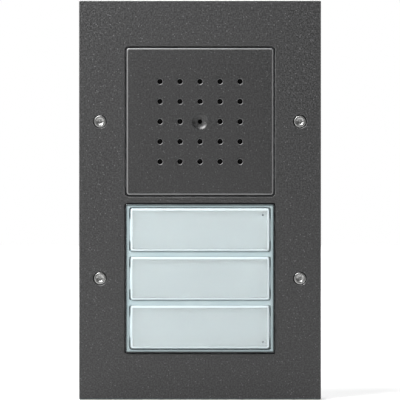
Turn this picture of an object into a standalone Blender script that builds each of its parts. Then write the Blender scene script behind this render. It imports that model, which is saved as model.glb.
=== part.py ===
"""Door intercom panel: a front plate over a voice unit and a call unit with three buttons.

It is made for two flush boxes. The panel faces -Y, +X is to the right as seen from the front, and +Z is up.
The origin is the middle of the panel in the plane of the wall, on the rear face of the carrier plate. Lengths
are in metres.
"""

import math

import bmesh
import bpy
from mathutils import Matrix, Vector

# ---------------------------------------------------------------- driving dimensions

GAP = 0.0003  # between pieces that touch
INNER_CORNER = 0.001  # corner radius inside the plate, the rim seal, the baffle and the trays

MODULE_PITCH = 0.071  # between the centres of the two flush boxes
SIDE_MARGIN = 0.01925  # front plate beyond the modules, left and right
END_MARGIN = 0.01925  # front plate beyond the modules, top and bottom
PLATE_PROUD = 0.0105  # front face of the plate in front of the wall
PLATE_FRONT = 0.0025  # thickness of the plate's front
PLATE_SIDE = 0.0025  # thickness of the plate's side walls
PLATE_EDGE = 0.0004  # rounding of the plate's outer edges
OPENING_EDGE = 0.0003  # chamfer around the plate's openings
RIM_SEAL_DEPTH = 0.0010
RIM_SEAL_SETBACK = 0.0002  # seal inside the plate's outline

COVER_MARGIN = 0.0023  # module outline to voice cover
COVER_JOINT = 0.00065  # open joint around the voice cover
COVER_CORNER = 0.0011
COVER_EDGE = 0.0005
COVER_WALL = 0.0020  # front of the cover
COVER_SIDE = 0.0016  # skirt of the cover
COVER_SEAL_DEPTH = 0.0012

HOLE_ROWS = 5
HOLE_PITCH = 0.00906
HOLE_RADIUS = 0.0012
CENTRE_HOLE_RADIUS = 0.00105
DIMPLE_RADIUS = 0.00368
DIMPLE_DEPTH = 0.0006

CARRIER_THICKNESS = 0.0015
CARRIER_CLEARANCE = 0.00175  # carrier inside the plate's side walls
CARRIER_CORNER = 0.003
BOX_SCREW_SPACING = 0.060  # device screws of a flush box
SLOT_WIDTH = 0.0034
SLOT_LENGTH = 0.008
SLOT_ROUNDING = 0.49  # corner radius as a share of the slot's width
SLOT_WEB = 0.0018  # steel left between a slot and the round opening
POT_CLEARANCE = 0.0005  # housing in the carrier's round opening

SCREW_OUTSET = 0.00975  # cover screws beyond the modules
SCREW_HEAD_RADIUS = 0.0027
SCREW_HEAD_DEPTH = 0.0016
SCREW_SUNK = 0.0002  # head below the plate's face
SCREW_SHANK_RADIUS = 0.0015
SCREW_RECESS_RADIUS = 0.0014
SCREW_RECESS_DEPTH = 0.0009
SCREW_PIN_RADIUS = 0.0004
HEAD_CLEARANCE = 0.00045  # counterbore around a head
BOSS_WALL = 0.0026  # boss around a shank's hole
SLEEVE_WALL = 0.0014
SLEEVE_DEPTH = 0.0025

HOUSING_WALL = 0.0014
TRAY_WALL = 0.0016
TRAY_CORNER = 0.0015
TRAY_FIT = 0.0004  # voice tray inside the cover's skirt
VOICE_FLOOR = 0.0016
CALL_FLOOR = 0.0012
CALL_TRAY_DEPTH = 0.0022
VOICE_POT_END = 0.018  # behind the wall
CALL_POT_END = 0.012
BACK_DISC = 0.0016  # thickness of a rear cover
SPIGOT_DEPTH = 0.003  # ring of a rear cover, inside the housing
SPIGOT_WALL = 0.0012

MESH_DEPTH = 0.0003
MESH_CORNER = 0.002
MESH_MARGIN = 0.004  # mesh beyond the outer holes
BAFFLE_DEPTH = 0.0015
BAFFLE_WINDOW = 0.014
BAFFLE_CORNER = 0.002
BAFFLE_SPOKE = 0.0038  # half width of the cross between the windows

SPEAKER_RADIUS = 0.020
SPEAKER_SEAT = 0.0015  # flange that rests on the housing's floor
SPEAKER_FLANGE = 0.0010
SPEAKER_DEPTH = 0.0067  # basket behind its flange
SPEAKER_SHEET = 0.0010
CONE_SHEET = 0.0004
DUST_CAP_HEIGHT = 0.0016
DUST_CAP_SHOULDER = 0.8  # height halfway out, as a share of the full height
SURROUND_WIDTH = 0.0022
MAGNET_RADIUS = 0.011
MAGNET_DEPTH = 0.006

MIC_RADIUS = 0.0030
MIC_DEPTH = 0.0026
BOOT_WALL = 0.0006
BOOT_LIP = 0.0004

BOARD_THICKNESS = 0.0016
VOICE_BOARD_SETBACK = 0.0027  # magnet to board
CALL_BOARD_SETBACK = 0.0012  # housing's floor to board
BOARD_LIP = 0.0004  # edge of the call housing's floor in front of the board
CHIP_SIZE = 0.009
CHIP_DEPTH = 0.0012
CHIP_INSET = 0.0028  # chip inside the board's edge
CAPACITOR_RADIUS = 0.00315
CAPACITOR_DEPTH = 0.0040
CAPACITOR_INSET = 0.0113  # centre inside the board's edge, at the side
CAPACITOR_DROP = 0.001
DIAL_INSET = 0.0103
DIAL_DROP = 0.003
DIAL_RADIUS = 0.0026
DIAL_SLOT = 0.0008
DIAL_BASE = 0.0068
DIAL_BASE_DEPTH = 0.0032
DIAL_WELL_FLOOR = 0.0010
DIAL_HOLE_CLEARANCE = 0.0008
TERMINAL_INSET = 0.0123  # centre inside the board's edge, at the top
TERMINAL_WIDTH = 0.0126
TERMINAL_HEIGHT = 0.0086
TERMINAL_PROUD = 0.003  # beyond the rear cover
TERMINAL_PITCH = 0.00508
TERMINAL_SCREW_RADIUS = 0.0014
TERMINAL_SCREW_DEPTH = 0.0022
TERMINAL_WELL = 0.004
WINDOW_CLEARANCE = 0.0006  # rear cover around terminal block and plugs

LINK_INSET = 0.0113  # link sockets inside the board's edge, towards the other module
LINK_SOCKET = (0.010, 0.007)
LINK_PLUG = (0.0092, 0.0062)
VOICE_SOCKET_DEPTH = 0.0031
CALL_SOCKET_DEPTH = 0.0067
PLUG_PROUD = 0.005  # beyond the rear cover
LEAD_RADIUS = 0.0014
LEAD_POINTS = 17
LEAD_STRAIGHT = 0.25  # straight share of the lead at each end

BUTTONS = 3
FRAME_MARGIN = 0.00185  # module outline to button frame
FRAME_JOINT = 0.0005
FRAME_CORNER = 0.0006
FRAME_EDGE = 0.0003
FRAME_PROUD = 0.0006  # frame in front of the plate
FRAME_END_STRIP = 0.00155  # frame above and below the windows
FRAME_SIDE_STRIP = 0.00175
FRAME_WEB = 0.0018  # between two windows
FRAME_SEAL_DEPTH = 0.0006
FRAME_SEAL_SETBACK = 0.00035

BUTTON_TRAVEL = 0.0010
CAP_GAP = 0.0004  # cap in its window
CAP_PROUD = 0.0012  # cap in front of the plate
CAP_CORNER = 0.0009
CAP_EDGE = 0.0005
CAP_WALL = 0.0012  # front of the cap
CAP_SIDE = 0.0007
CAP_FLANGE = 0.0010
CAP_LIP = 0.0006  # flange beyond the cap's outline
CARD_DEPTH = 0.0003
CARD_CORNER = 0.0004
BUTTON_TRAY_FRONT = 0.0009
BUTTON_TRAY_SIDE = 0.0010
BUTTON_TRAY_SHORT = 0.0004  # tray ends before the cap does
PRESSER_RADIUS = 0.0025

SWITCH_SIZE = 0.006
SWITCH_DEPTH = 0.0035
SWITCH_FLOOR = 0.0006
SWITCH_INSET = 0.0043  # outer switches inside the board's edge
PLUNGER_RADIUS = 0.0017
LAMP_SIZE = (0.0035, 0.0028)
LAMP_DEPTH = 0.0009
LAMP_CLEARANCE = 0.0025  # between a switch and its lamp

# ---------------------------------------------------------------- derived sizes and levels along Y

PLATE_WIDTH = MODULE_PITCH + 2 * SIDE_MARGIN
PLATE_HEIGHT = 2 * MODULE_PITCH + 2 * END_MARGIN
FRONT = -PLATE_PROUD
PLATE_INNER = FRONT + PLATE_FRONT
PLATE_BACK = -(RIM_SEAL_DEPTH + GAP)
BASE = -(CARRIER_THICKNESS + GAP)  # rear face of both housings' trays

COVER_SIZE = MODULE_PITCH - 2 * COVER_MARGIN
COVER_INNER = COVER_SIZE - 2 * COVER_SIDE
COVER_SEAL_FRONT = BASE - COVER_SEAL_DEPTH
COVER_BACK = COVER_SEAL_FRONT - GAP
MESH_FRONT = FRONT + COVER_WALL + GAP
MESH_BACK = MESH_FRONT + MESH_DEPTH
BAFFLE_FRONT = MESH_BACK + GAP
BAFFLE_BACK = BAFFLE_FRONT + BAFFLE_DEPTH
MESH_SIZE = (HOLE_ROWS - 1) * HOLE_PITCH + 2 * MESH_MARGIN
VOICE_TRAY_SIZE = COVER_INNER - 2 * TRAY_FIT
VOICE_TRAY_FRONT = BAFFLE_BACK + GAP
VOICE_FLOOR_FRONT = BASE - VOICE_FLOOR

OPENING_RADIUS = BOX_SCREW_SPACING / 2 - SLOT_WIDTH / 2 - SLOT_WEB
POT_RADIUS = OPENING_RADIUS - POT_CLEARANCE
POT_BORE = POT_RADIUS - HOUSING_WALL
BOARD_RADIUS = POT_BORE - GAP
CHIP_X = BOARD_RADIUS - CHIP_INSET - CHIP_SIZE / 2
CAPACITOR_AT = (CAPACITOR_INSET - BOARD_RADIUS, -CAPACITOR_DROP)
DIAL_AT = (BOARD_RADIUS - DIAL_INSET, -DIAL_DROP)
TERMINAL_AT = (0, BOARD_RADIUS - TERMINAL_INSET)
LINK_Z = BOARD_RADIUS - LINK_INSET
LAMP_X = SWITCH_SIZE / 2 + LAMP_CLEARANCE + LAMP_SIZE[0] / 2

FLANGE_BACK = VOICE_FLOOR_FRONT - GAP
FLANGE_FRONT = FLANGE_BACK - SPEAKER_FLANGE
BASKET_BACK = FLANGE_BACK + SPEAKER_DEPTH
BASKET_NECK = MAGNET_RADIUS + 2 * SPEAKER_SHEET
CONE_RADIUS = SPEAKER_RADIUS - 2 * SPEAKER_SEAT - CONE_SHEET
MAGNET_FRONT = BASKET_BACK + GAP
MAGNET_BACK = MAGNET_FRONT + MAGNET_DEPTH
BOOT_RADIUS = MIC_RADIUS + GAP + BOOT_WALL
BOOT_FRONT = MESH_FRONT
CAPSULE_FRONT = BOOT_FRONT + BOOT_LIP + GAP
CAPSULE_BACK = CAPSULE_FRONT + MIC_DEPTH
BOOT_BACK = CAPSULE_BACK + GAP + BOOT_LIP
VOICE_BOARD_FRONT = MAGNET_BACK + VOICE_BOARD_SETBACK
VOICE_BOARD_BACK = VOICE_BOARD_FRONT + BOARD_THICKNESS
VOICE_BACK_FRONT = VOICE_POT_END + GAP
VOICE_BACK_END = VOICE_BACK_FRONT + BACK_DISC

FRAME_SIZE = MODULE_PITCH - 2 * FRAME_MARGIN
FRAME_FRONT = FRONT - FRAME_PROUD
CALL_TRAY_FRONT = BASE - CALL_TRAY_DEPTH
CALL_TRAY_SIZE = FRAME_SIZE - 2 * FRAME_SEAL_SETBACK
FRAME_SEAL_BACK = CALL_TRAY_FRONT - GAP
FRAME_SEAL_FRONT = FRAME_SEAL_BACK - FRAME_SEAL_DEPTH
FRAME_BACK = FRAME_SEAL_FRONT - GAP
BUTTON_PITCH = (FRAME_SIZE - 2 * FRAME_END_STRIP + FRAME_WEB) / BUTTONS
CAP_WIDTH = FRAME_SIZE - 2 * FRAME_SIDE_STRIP - 2 * CAP_GAP
CAP_HEIGHT = BUTTON_PITCH - FRAME_WEB - 2 * CAP_GAP
CAP_FRONT = FRONT - CAP_PROUD
CAP_BACK = FRAME_SEAL_FRONT - GAP - BUTTON_TRAVEL
CAP_FLANGE_FRONT = CAP_BACK - CAP_FLANGE
LEDGE = CAP_FLANGE_FRONT - GAP  # step in the frame that stops the cap's flange
CARD_FRONT = CAP_FRONT + CAP_WALL + GAP
CARD_BACK = CARD_FRONT + CARD_DEPTH
CARD_WIDTH = CAP_WIDTH - 2 * CAP_SIDE - 2 * GAP
CARD_HEIGHT = CAP_HEIGHT - 2 * CAP_SIDE - 2 * GAP
BUTTON_TRAY_TOP = CARD_BACK + GAP
CALL_BOARD_FRONT = BASE + CALL_BOARD_SETBACK
CALL_BOARD_BACK = CALL_BOARD_FRONT + BOARD_THICKNESS
SWITCH_BACK = CALL_BOARD_FRONT - GAP
SWITCH_FRONT = SWITCH_BACK - SWITCH_DEPTH
PLUNGER_FRONT = SWITCH_FRONT - BUTTON_TRAVEL
PLUNGER_BACK = SWITCH_BACK - SWITCH_FLOOR - GAP - BUTTON_TRAVEL
PRESSER_BACK = PLUNGER_FRONT - GAP
SWITCH_ROW = BOARD_RADIUS - SWITCH_INSET
CALL_BACK_FRONT = CALL_POT_END + GAP
CALL_BACK_END = CALL_BACK_FRONT + BACK_DISC

SCREW_X = MODULE_PITCH / 2 + SCREW_OUTSET
SCREW_Z = MODULE_PITCH / 2
SCREW_SPOTS = ((-SCREW_X, SCREW_Z), (SCREW_X, SCREW_Z), (-SCREW_X, -SCREW_Z), (SCREW_X, -SCREW_Z))
HEAD_FRONT = FRONT + SCREW_SUNK
HEAD_BACK = HEAD_FRONT + SCREW_HEAD_DEPTH
COUNTERBORE_FLOOR = HEAD_BACK + GAP
SCREW_HOLE_RADIUS = SCREW_SHANK_RADIUS + GAP
SLEEVE_BACK = BASE
SLEEVE_FRONT = SLEEVE_BACK - SLEEVE_DEPTH
BOSS_BACK = SLEEVE_FRONT - GAP

THROUGH = 0.001  # how far a cutter runs past what it cuts
POT_STEPS = 40
ROUND_STEPS = 28
DISC_STEPS = 24
SCREW_STEPS = 16
SMALL_STEPS = 14
HOLE_STEPS = 12
CORNER_STEPS = 4
EDGE_STEPS = 2
MERGE = 0.00001
SHARP = math.radians(30)
AXIS_MARK = 0.01  # drawn size of an axis


# ---------------------------------------------------------------- scene and shape helpers


def clear_scene():
    """Remove every object that is in the scene."""
    for old in list(bpy.data.objects):
        bpy.data.objects.remove(old, do_unlink=True)


def new_collection(name):
    """Add a collection to the scene."""
    made = bpy.data.collections.new(name)
    bpy.context.scene.collection.children.link(made)
    return made


clear_scene()
PARTS = new_collection("door_intercom_panel")
CUTTERS = new_collection("cutters")


def new_empty(name, at, parent=None):
    """An axis that other pieces are placed from."""
    made = bpy.data.objects.new(name, None)
    made.location = at
    made.parent = parent
    made.empty_display_size = AXIS_MARK
    PARTS.objects.link(made)
    return made


def new_piece(shape, name, at, parent, material):
    """Make an object from a bmesh. One with no material is a cutter and isn't part of the panel."""
    mesh = bpy.data.meshes.new(name)
    shape.to_mesh(mesh)
    shape.free()
    mesh.shade_smooth()
    mesh.set_sharp_from_angle(angle=SHARP)
    made = bpy.data.objects.new(name, mesh)
    made.location = at
    made.parent = parent
    if material:
        mesh.materials.append(material)
        PARTS.objects.link(made)
    else:
        CUTTERS.objects.link(made)
        made.hide_render = True
        made.display_type = "WIRE"
    return made


def runs_along_y(edge):
    """True for an edge that is parallel to Y."""
    across = edge.verts[0].co - edge.verts[1].co
    return abs(across.x) < MERGE and abs(across.z) < MERGE


def slab(name, width, height, front, back, at=(0, 0), corner=0, edge=0, parent=None, material=None):
    """A plate across Y, with rounded corners, and with rounded front edges where edge is given."""
    shape = bmesh.new()
    bmesh.ops.create_cube(shape, size=1)
    bmesh.ops.scale(shape, vec=(width, back - front, height), verts=shape.verts)
    if corner:
        upright = [e for e in shape.edges if runs_along_y(e)]
        bmesh.ops.bevel(
            shape, geom=upright, offset=corner, segments=CORNER_STEPS, profile=0.5, affect="EDGES"
        )
    if edge:
        rim_y = min(v.co.y for v in shape.verts) + MERGE
        rim = [e for e in shape.edges if all(v.co.y < rim_y for v in e.verts)]
        bmesh.ops.bevel(shape, geom=rim, offset=edge, segments=EDGE_STEPS, profile=0.5, affect="EDGES")
    return new_piece(shape, name, (at[0], (front + back) / 2, at[1]), parent, material)


def rod(name, radius, front, back, at=(0, 0), steps=ROUND_STEPS, parent=None, material=None):
    """A cylinder along Y."""
    shape = bmesh.new()
    bmesh.ops.create_cone(
        shape,
        cap_ends=True,
        segments=steps,
        radius1=radius,
        radius2=radius,
        depth=back - front,
        matrix=Matrix.Rotation(math.pi / 2, 4, "X"),
    )
    return new_piece(shape, name, (at[0], (front + back) / 2, at[1]), parent, material)


def turned(name, profile, at=(0, 0), steps=ROUND_STEPS, parent=None, material=None):
    """A turned solid about an axis along Y.

    The profile's points are (radius, y). They run outwards on the front and then down the outer side to the
    back. A profile that doesn't start on the axis is closed into a ring.
    """
    shape = bmesh.new()
    points = [shape.verts.new((radius, 0, -y)) for radius, y in profile]
    for first, second in zip(points, points[1:]):
        shape.edges.new((first, second))
    if profile[0][0] > 0:
        shape.edges.new((points[-1], points[0]))
    made = new_piece(shape, name, (at[0], 0, at[1]), parent, material)
    made.rotation_euler.x = math.pi / 2
    turn = made.modifiers.new("turn", "SCREW")
    turn.steps = steps
    turn.render_steps = steps
    turn.use_merge_vertices = True
    turn.merge_threshold = MERGE
    turn.use_smooth_shade = True
    return made


def boolean(body, other, operation):
    """Cut or join a piece with a helper shape."""
    step = body.modifiers.new(other.name, "BOOLEAN")
    step.operation = operation
    step.solver = "EXACT"
    step.object = other


def cut(body, *cutters):
    """Take each cutter's shape out of the body."""
    for cutter in cutters:
        boolean(body, cutter, "DIFFERENCE")


def join(body, *others):
    """Make each helper shape part of the body."""
    for other in others:
        boolean(body, other, "UNION")


def flared(name, size, corner, level, flare, parent):
    """A cutter that chamfers a square opening of this size at this level, towards the front."""
    shape = bmesh.new()
    bmesh.ops.create_cube(shape, size=1)
    depth = 4 * flare
    bmesh.ops.scale(shape, vec=(size, depth, size), verts=shape.verts)
    upright = [e for e in shape.edges if runs_along_y(e)]
    bmesh.ops.bevel(
        shape, geom=upright, offset=corner, segments=CORNER_STEPS, profile=0.5, affect="EDGES"
    )
    for vertex in shape.verts:
        growth = 1 + 4 * flare / size if vertex.co.y < 0 else 1 - 4 * flare / size
        vertex.co.x *= growth
        vertex.co.z *= growth
    return new_piece(shape, name, (0, level + flare, 0), parent, None)


# ---------------------------------------------------------------- materials


def principled(name, colour, roughness, metallic=0.0, transmission=0.0):
    """A plain Principled material."""
    made = bpy.data.materials.new(name)
    made.use_nodes = True
    made.diffuse_color = (*colour, 1)
    shader = made.node_tree.nodes["Principled BSDF"]
    shader.inputs["Base Color"].default_value = (*colour, 1)
    shader.inputs["Roughness"].default_value = roughness
    shader.inputs["Metallic"].default_value = metallic
    shader.inputs["Transmission Weight"].default_value = transmission
    return made


def anthracite_lacquer():
    return principled("anthracite_lacquer", (0.075, 0.075, 0.076), 0.45, 0.35)


def stainless_steel():
    return principled("stainless_steel", (0.60, 0.59, 0.57), 0.28, 1.0)


def galvanised_steel():
    return principled("galvanised_steel", (0.52, 0.54, 0.56), 0.38, 1.0)


def brass():
    return principled("brass", (0.78, 0.58, 0.27), 0.30, 1.0)


def seal_rubber():
    return principled("seal_rubber", (0.02, 0.02, 0.022), 0.80)


def black_plastic():
    return principled("black_plastic", (0.018, 0.018, 0.02), 0.50)


def grey_plastic():
    return principled("grey_plastic", (0.28, 0.29, 0.30), 0.50)


def mesh_fabric():
    return principled("mesh_fabric", (0.01, 0.01, 0.011), 0.90)


def clear_plastic():
    return principled("clear_plastic", (0.86, 0.94, 0.94), 0.08, 0.0, 0.9)


def frame_plastic():
    return principled("frame_plastic", (0.62, 0.76, 0.75), 0.20, 0.0, 0.5)


def white_card():
    return principled("white_card", (0.78, 0.82, 0.84), 0.60)


def white_plastic():
    return principled("white_plastic", (0.80, 0.82, 0.83), 0.40)


def board_laminate():
    return principled("board_laminate", (0.03, 0.16, 0.08), 0.45)


def chip_epoxy():
    return principled("chip_epoxy", (0.02, 0.02, 0.02), 0.55)


def cone_paper():
    return principled("cone_paper", (0.05, 0.05, 0.05), 0.75)


def magnet_ferrite():
    return principled("magnet_ferrite", (0.09, 0.09, 0.095), 0.60, 0.3)


def capsule_aluminium():
    return principled("capsule_aluminium", (0.70, 0.71, 0.72), 0.32, 1.0)


def terminal_plastic():
    return principled("terminal_plastic", (0.05, 0.20, 0.10), 0.45)


def lamp_resin():
    return principled("lamp_resin", (0.88, 0.86, 0.62), 0.30)


def lead_sheath():
    return principled("lead_sheath", (0.42, 0.43, 0.44), 0.55)


# ---------------------------------------------------------------- front plate and what holds it


def front_plate(voice, call):
    """The hollow plate, with an opening for each module and a boss behind each screw."""
    shape = bmesh.new()
    bmesh.ops.create_cube(shape, size=1)
    depth = PLATE_BACK - FRONT
    bmesh.ops.scale(shape, vec=(PLATE_WIDTH, depth, PLATE_HEIGHT), verts=shape.verts)
    rounded = [e for e in shape.edges if any(v.co.y < 0 for v in e.verts)]
    bmesh.ops.bevel(
        shape, geom=rounded, offset=PLATE_EDGE, segments=EDGE_STEPS, profile=0.5, affect="EDGES"
    )
    plate = new_piece(shape, "front_plate", (0, FRONT + depth / 2, 0), None, anthracite_lacquer())
    inner_width = PLATE_WIDTH - 2 * PLATE_SIDE
    inner_height = PLATE_HEIGHT - 2 * PLATE_SIDE
    hollow = slab(
        "plate_hollow", inner_width, inner_height, PLATE_INNER, PLATE_BACK + THROUGH, corner=INNER_CORNER
    )
    cut(plate, hollow)
    for number, spot in enumerate(SCREW_SPOTS, 1):
        boss = rod(
            f"plate_boss_{number}",
            SCREW_HOLE_RADIUS + BOSS_WALL,
            FRONT + PLATE_FRONT / 2,
            BOSS_BACK,
            spot,
            SMALL_STEPS * 2,
        )
        join(plate, boss)
    openings = (
        ("voice", voice, COVER_SIZE + 2 * COVER_JOINT, COVER_CORNER + COVER_JOINT),
        ("call", call, FRAME_SIZE + 2 * FRAME_JOINT, FRAME_CORNER + FRAME_JOINT),
    )
    for name, module, size, corner in openings:
        opening = slab(
            f"{name}_opening",
            size,
            size,
            FRONT - THROUGH,
            PLATE_INNER + THROUGH,
            corner=corner,
            parent=module,
        )
        cut(plate, opening, flared(f"{name}_chamfer", size, corner, FRONT, OPENING_EDGE, module))
    bore = SCREW_HEAD_RADIUS + HEAD_CLEARANCE
    for number, spot in enumerate(SCREW_SPOTS, 1):
        hole = turned(
            f"plate_hole_{number}",
            (
                (0, FRONT - THROUGH),
                (bore, FRONT - THROUGH),
                (bore, COUNTERBORE_FLOOR),
                (SCREW_HOLE_RADIUS, COUNTERBORE_FLOOR),
                (SCREW_HOLE_RADIUS, BOSS_BACK + THROUGH),
                (0, BOSS_BACK + THROUGH),
            ),
            spot,
        )
        cut(plate, hole)
    return plate


def rim_seal():
    """The soft ring between the plate's rim and the wall."""
    width = PLATE_WIDTH - 2 * RIM_SEAL_SETBACK
    height = PLATE_HEIGHT - 2 * RIM_SEAL_SETBACK
    seal = slab("rim_seal", width, height, -RIM_SEAL_DEPTH, 0, corner=INNER_CORNER, material=seal_rubber())
    inner_width = PLATE_WIDTH - 2 * PLATE_SIDE + 2 * RIM_SEAL_SETBACK
    inner_height = PLATE_HEIGHT - 2 * PLATE_SIDE + 2 * RIM_SEAL_SETBACK
    middle = slab(
        "rim_seal_middle", inner_width, inner_height, -RIM_SEAL_DEPTH - THROUGH, THROUGH, corner=INNER_CORNER
    )
    cut(seal, middle)


def carrier_plate(voice, call):
    """The steel plate on the flush boxes. Both housings and the spacer sleeves sit on it."""
    inset = 2 * (PLATE_SIDE + CARRIER_CLEARANCE)
    plate = slab(
        "carrier_plate",
        PLATE_WIDTH - inset,
        PLATE_HEIGHT - inset,
        -CARRIER_THICKNESS,
        0,
        corner=CARRIER_CORNER,
        material=galvanised_steel(),
    )
    through = (-CARRIER_THICKNESS - THROUGH, THROUGH)
    for name, module in (("voice", voice), ("call", call)):
        cut(plate, rod(f"{name}_round_opening", OPENING_RADIUS, *through, steps=POT_STEPS, parent=module))
        for side, x in (("left", -BOX_SCREW_SPACING / 2), ("right", BOX_SCREW_SPACING / 2)):
            slot = slab(
                f"{name}_slot_{side}",
                SLOT_WIDTH,
                SLOT_LENGTH,
                *through,
                at=(x, 0),
                corner=SLOT_WIDTH * SLOT_ROUNDING,
                parent=module,
            )
            cut(plate, slot)
    for number, spot in enumerate(SCREW_SPOTS, 1):
        cut(plate, rod(f"carrier_hole_{number}", SCREW_HOLE_RADIUS, *through, at=spot, steps=SMALL_STEPS))


def cover_screws():
    """Four pan-head screws, each with a round recess and a centre pin."""
    steel = stainless_steel()
    recess_floor = HEAD_FRONT + SCREW_RECESS_DEPTH
    profile = (
        (0, HEAD_FRONT + GAP),
        (SCREW_PIN_RADIUS, HEAD_FRONT + GAP),
        (SCREW_PIN_RADIUS, recess_floor),
        (SCREW_RECESS_RADIUS, recess_floor),
        (SCREW_RECESS_RADIUS, HEAD_FRONT),
        (SCREW_HEAD_RADIUS - 2 * GAP, HEAD_FRONT),
        (SCREW_HEAD_RADIUS, HEAD_FRONT + GAP),
        (SCREW_HEAD_RADIUS, HEAD_BACK),
        (SCREW_SHANK_RADIUS, HEAD_BACK),
        (SCREW_SHANK_RADIUS, -GAP),
        (0, -GAP),
    )
    for number, spot in enumerate(SCREW_SPOTS, 1):
        turned(f"cover_screw_{number}", profile, spot, SCREW_STEPS, material=steel)


def spacer_sleeves():
    """Threaded sleeves on the carrier plate that the cover screws go into."""
    metal = brass()
    outer = SCREW_HOLE_RADIUS + SLEEVE_WALL
    profile = (
        (SCREW_HOLE_RADIUS, SLEEVE_FRONT),
        (outer, SLEEVE_FRONT),
        (outer, SLEEVE_BACK),
        (SCREW_HOLE_RADIUS, SLEEVE_BACK),
    )
    for number, spot in enumerate(SCREW_SPOTS, 1):
        turned(f"spacer_sleeve_{number}", profile, spot, SCREW_STEPS, material=metal)


# ---------------------------------------------------------------- voice unit


def hole_spots():
    """The centres of the sound holes, without the one in the middle."""
    middle = HOLE_ROWS // 2
    rows = range(-middle, middle + 1)
    return [(x * HOLE_PITCH, z * HOLE_PITCH) for z in rows for x in rows if (x, z) != (0, 0)]


def sound_holes(voice):
    """One cutter that holds all sound holes."""
    shape = bmesh.new()
    upright = Matrix.Rotation(math.pi / 2, 4, "X")
    for x, z in hole_spots():
        bmesh.ops.create_cone(
            shape,
            cap_ends=True,
            segments=HOLE_STEPS,
            radius1=HOLE_RADIUS,
            radius2=HOLE_RADIUS,
            depth=COVER_WALL + 2 * THROUGH,
            matrix=Matrix.Translation((x, 0, z)) @ upright,
        )
    return new_piece(shape, "sound_holes", (0, FRONT + COVER_WALL / 2, 0), voice, None)


def microphone_dimple(voice):
    """The dish around the middle hole, with the hole itself, as one turned cutter."""
    ball = (DIMPLE_RADIUS**2 + DIMPLE_DEPTH**2) / (2 * DIMPLE_DEPTH)
    profile = [(0, FRONT - THROUGH), (DIMPLE_RADIUS, FRONT - THROUGH)]
    for step in range(3):
        radius = DIMPLE_RADIUS + (CENTRE_HOLE_RADIUS - DIMPLE_RADIUS) * step / 2
        depth = math.sqrt(ball**2 - radius**2) - (ball - DIMPLE_DEPTH)
        profile.append((radius, FRONT + depth))
    profile.append((CENTRE_HOLE_RADIUS, FRONT + COVER_WALL + THROUGH))
    profile.append((0, FRONT + COVER_WALL + THROUGH))
    return turned("microphone_dimple", profile, steps=DISC_STEPS, parent=voice)


def voice_cover(voice):
    """The square lid with the sound holes and the microphone dimple."""
    cover = slab(
        "voice_cover",
        COVER_SIZE,
        COVER_SIZE,
        FRONT,
        COVER_BACK,
        corner=COVER_CORNER,
        edge=COVER_EDGE,
        parent=voice,
        material=anthracite_lacquer(),
    )
    hollow = slab(
        "cover_hollow",
        COVER_INNER,
        COVER_INNER,
        FRONT + COVER_WALL,
        COVER_BACK + THROUGH,
        corner=COVER_CORNER / 2,
        parent=voice,
    )
    cut(cover, hollow, sound_holes(voice), microphone_dimple(voice))


def square_ring(name, size, inner, front, back, corner, parent, material):
    """A flat ring with a square opening."""
    ring = slab(name, size, size, front, back, corner=corner, parent=parent, material=material)
    middle = slab(
        f"{name}_middle", inner, inner, front - THROUGH, back + THROUGH, corner=corner / 2, parent=parent
    )
    cut(ring, middle)


def sound_mesh(voice):
    """The fine mesh behind the holes. It is open around the microphone's boot."""
    mesh = slab(
        "sound_mesh",
        MESH_SIZE,
        MESH_SIZE,
        MESH_FRONT,
        MESH_BACK,
        corner=MESH_CORNER,
        parent=voice,
        material=mesh_fabric(),
    )
    hole = rod(
        "mesh_hole",
        BOOT_RADIUS + GAP,
        MESH_FRONT - THROUGH,
        MESH_BACK + THROUGH,
        parent=voice,
    )
    cut(mesh, hole)


def speaker_baffle(voice):
    """The black plate that holds the microphone in front of the loudspeaker."""
    baffle = slab(
        "speaker_baffle",
        VOICE_TRAY_SIZE,
        VOICE_TRAY_SIZE,
        BAFFLE_FRONT,
        BAFFLE_BACK,
        corner=INNER_CORNER,
        parent=voice,
        material=black_plastic(),
    )
    through = (BAFFLE_FRONT - THROUGH, BAFFLE_BACK + THROUGH)
    cut(baffle, rod("boot_seat", BOOT_RADIUS + GAP, *through, parent=voice))
    offset = BAFFLE_SPOKE + BAFFLE_WINDOW / 2
    for number, (x, z) in enumerate(((-1, 1), (1, 1), (-1, -1), (1, -1)), 1):
        window = slab(
            f"baffle_window_{number}",
            BAFFLE_WINDOW,
            BAFFLE_WINDOW,
            *through,
            at=(x * offset, z * offset),
            corner=BAFFLE_CORNER,
            parent=voice,
        )
        cut(baffle, window)


def microphone(voice):
    """The microphone capsule in its rubber boot."""
    rod(
        "microphone_capsule",
        MIC_RADIUS,
        CAPSULE_FRONT,
        CAPSULE_BACK,
        steps=DISC_STEPS,
        parent=voice,
        material=capsule_aluminium(),
    )
    bore = MIC_RADIUS + GAP
    mouth = CENTRE_HOLE_RADIUS
    profile = (
        (mouth, BOOT_FRONT),
        (BOOT_RADIUS, BOOT_FRONT),
        (BOOT_RADIUS, BOOT_BACK),
        (mouth, BOOT_BACK),
        (mouth, CAPSULE_BACK + GAP),
        (bore, CAPSULE_BACK + GAP),
        (bore, CAPSULE_FRONT - GAP),
        (mouth, CAPSULE_FRONT - GAP),
    )
    turned("microphone_boot", profile, steps=DISC_STEPS, parent=voice, material=seal_rubber())


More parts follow.
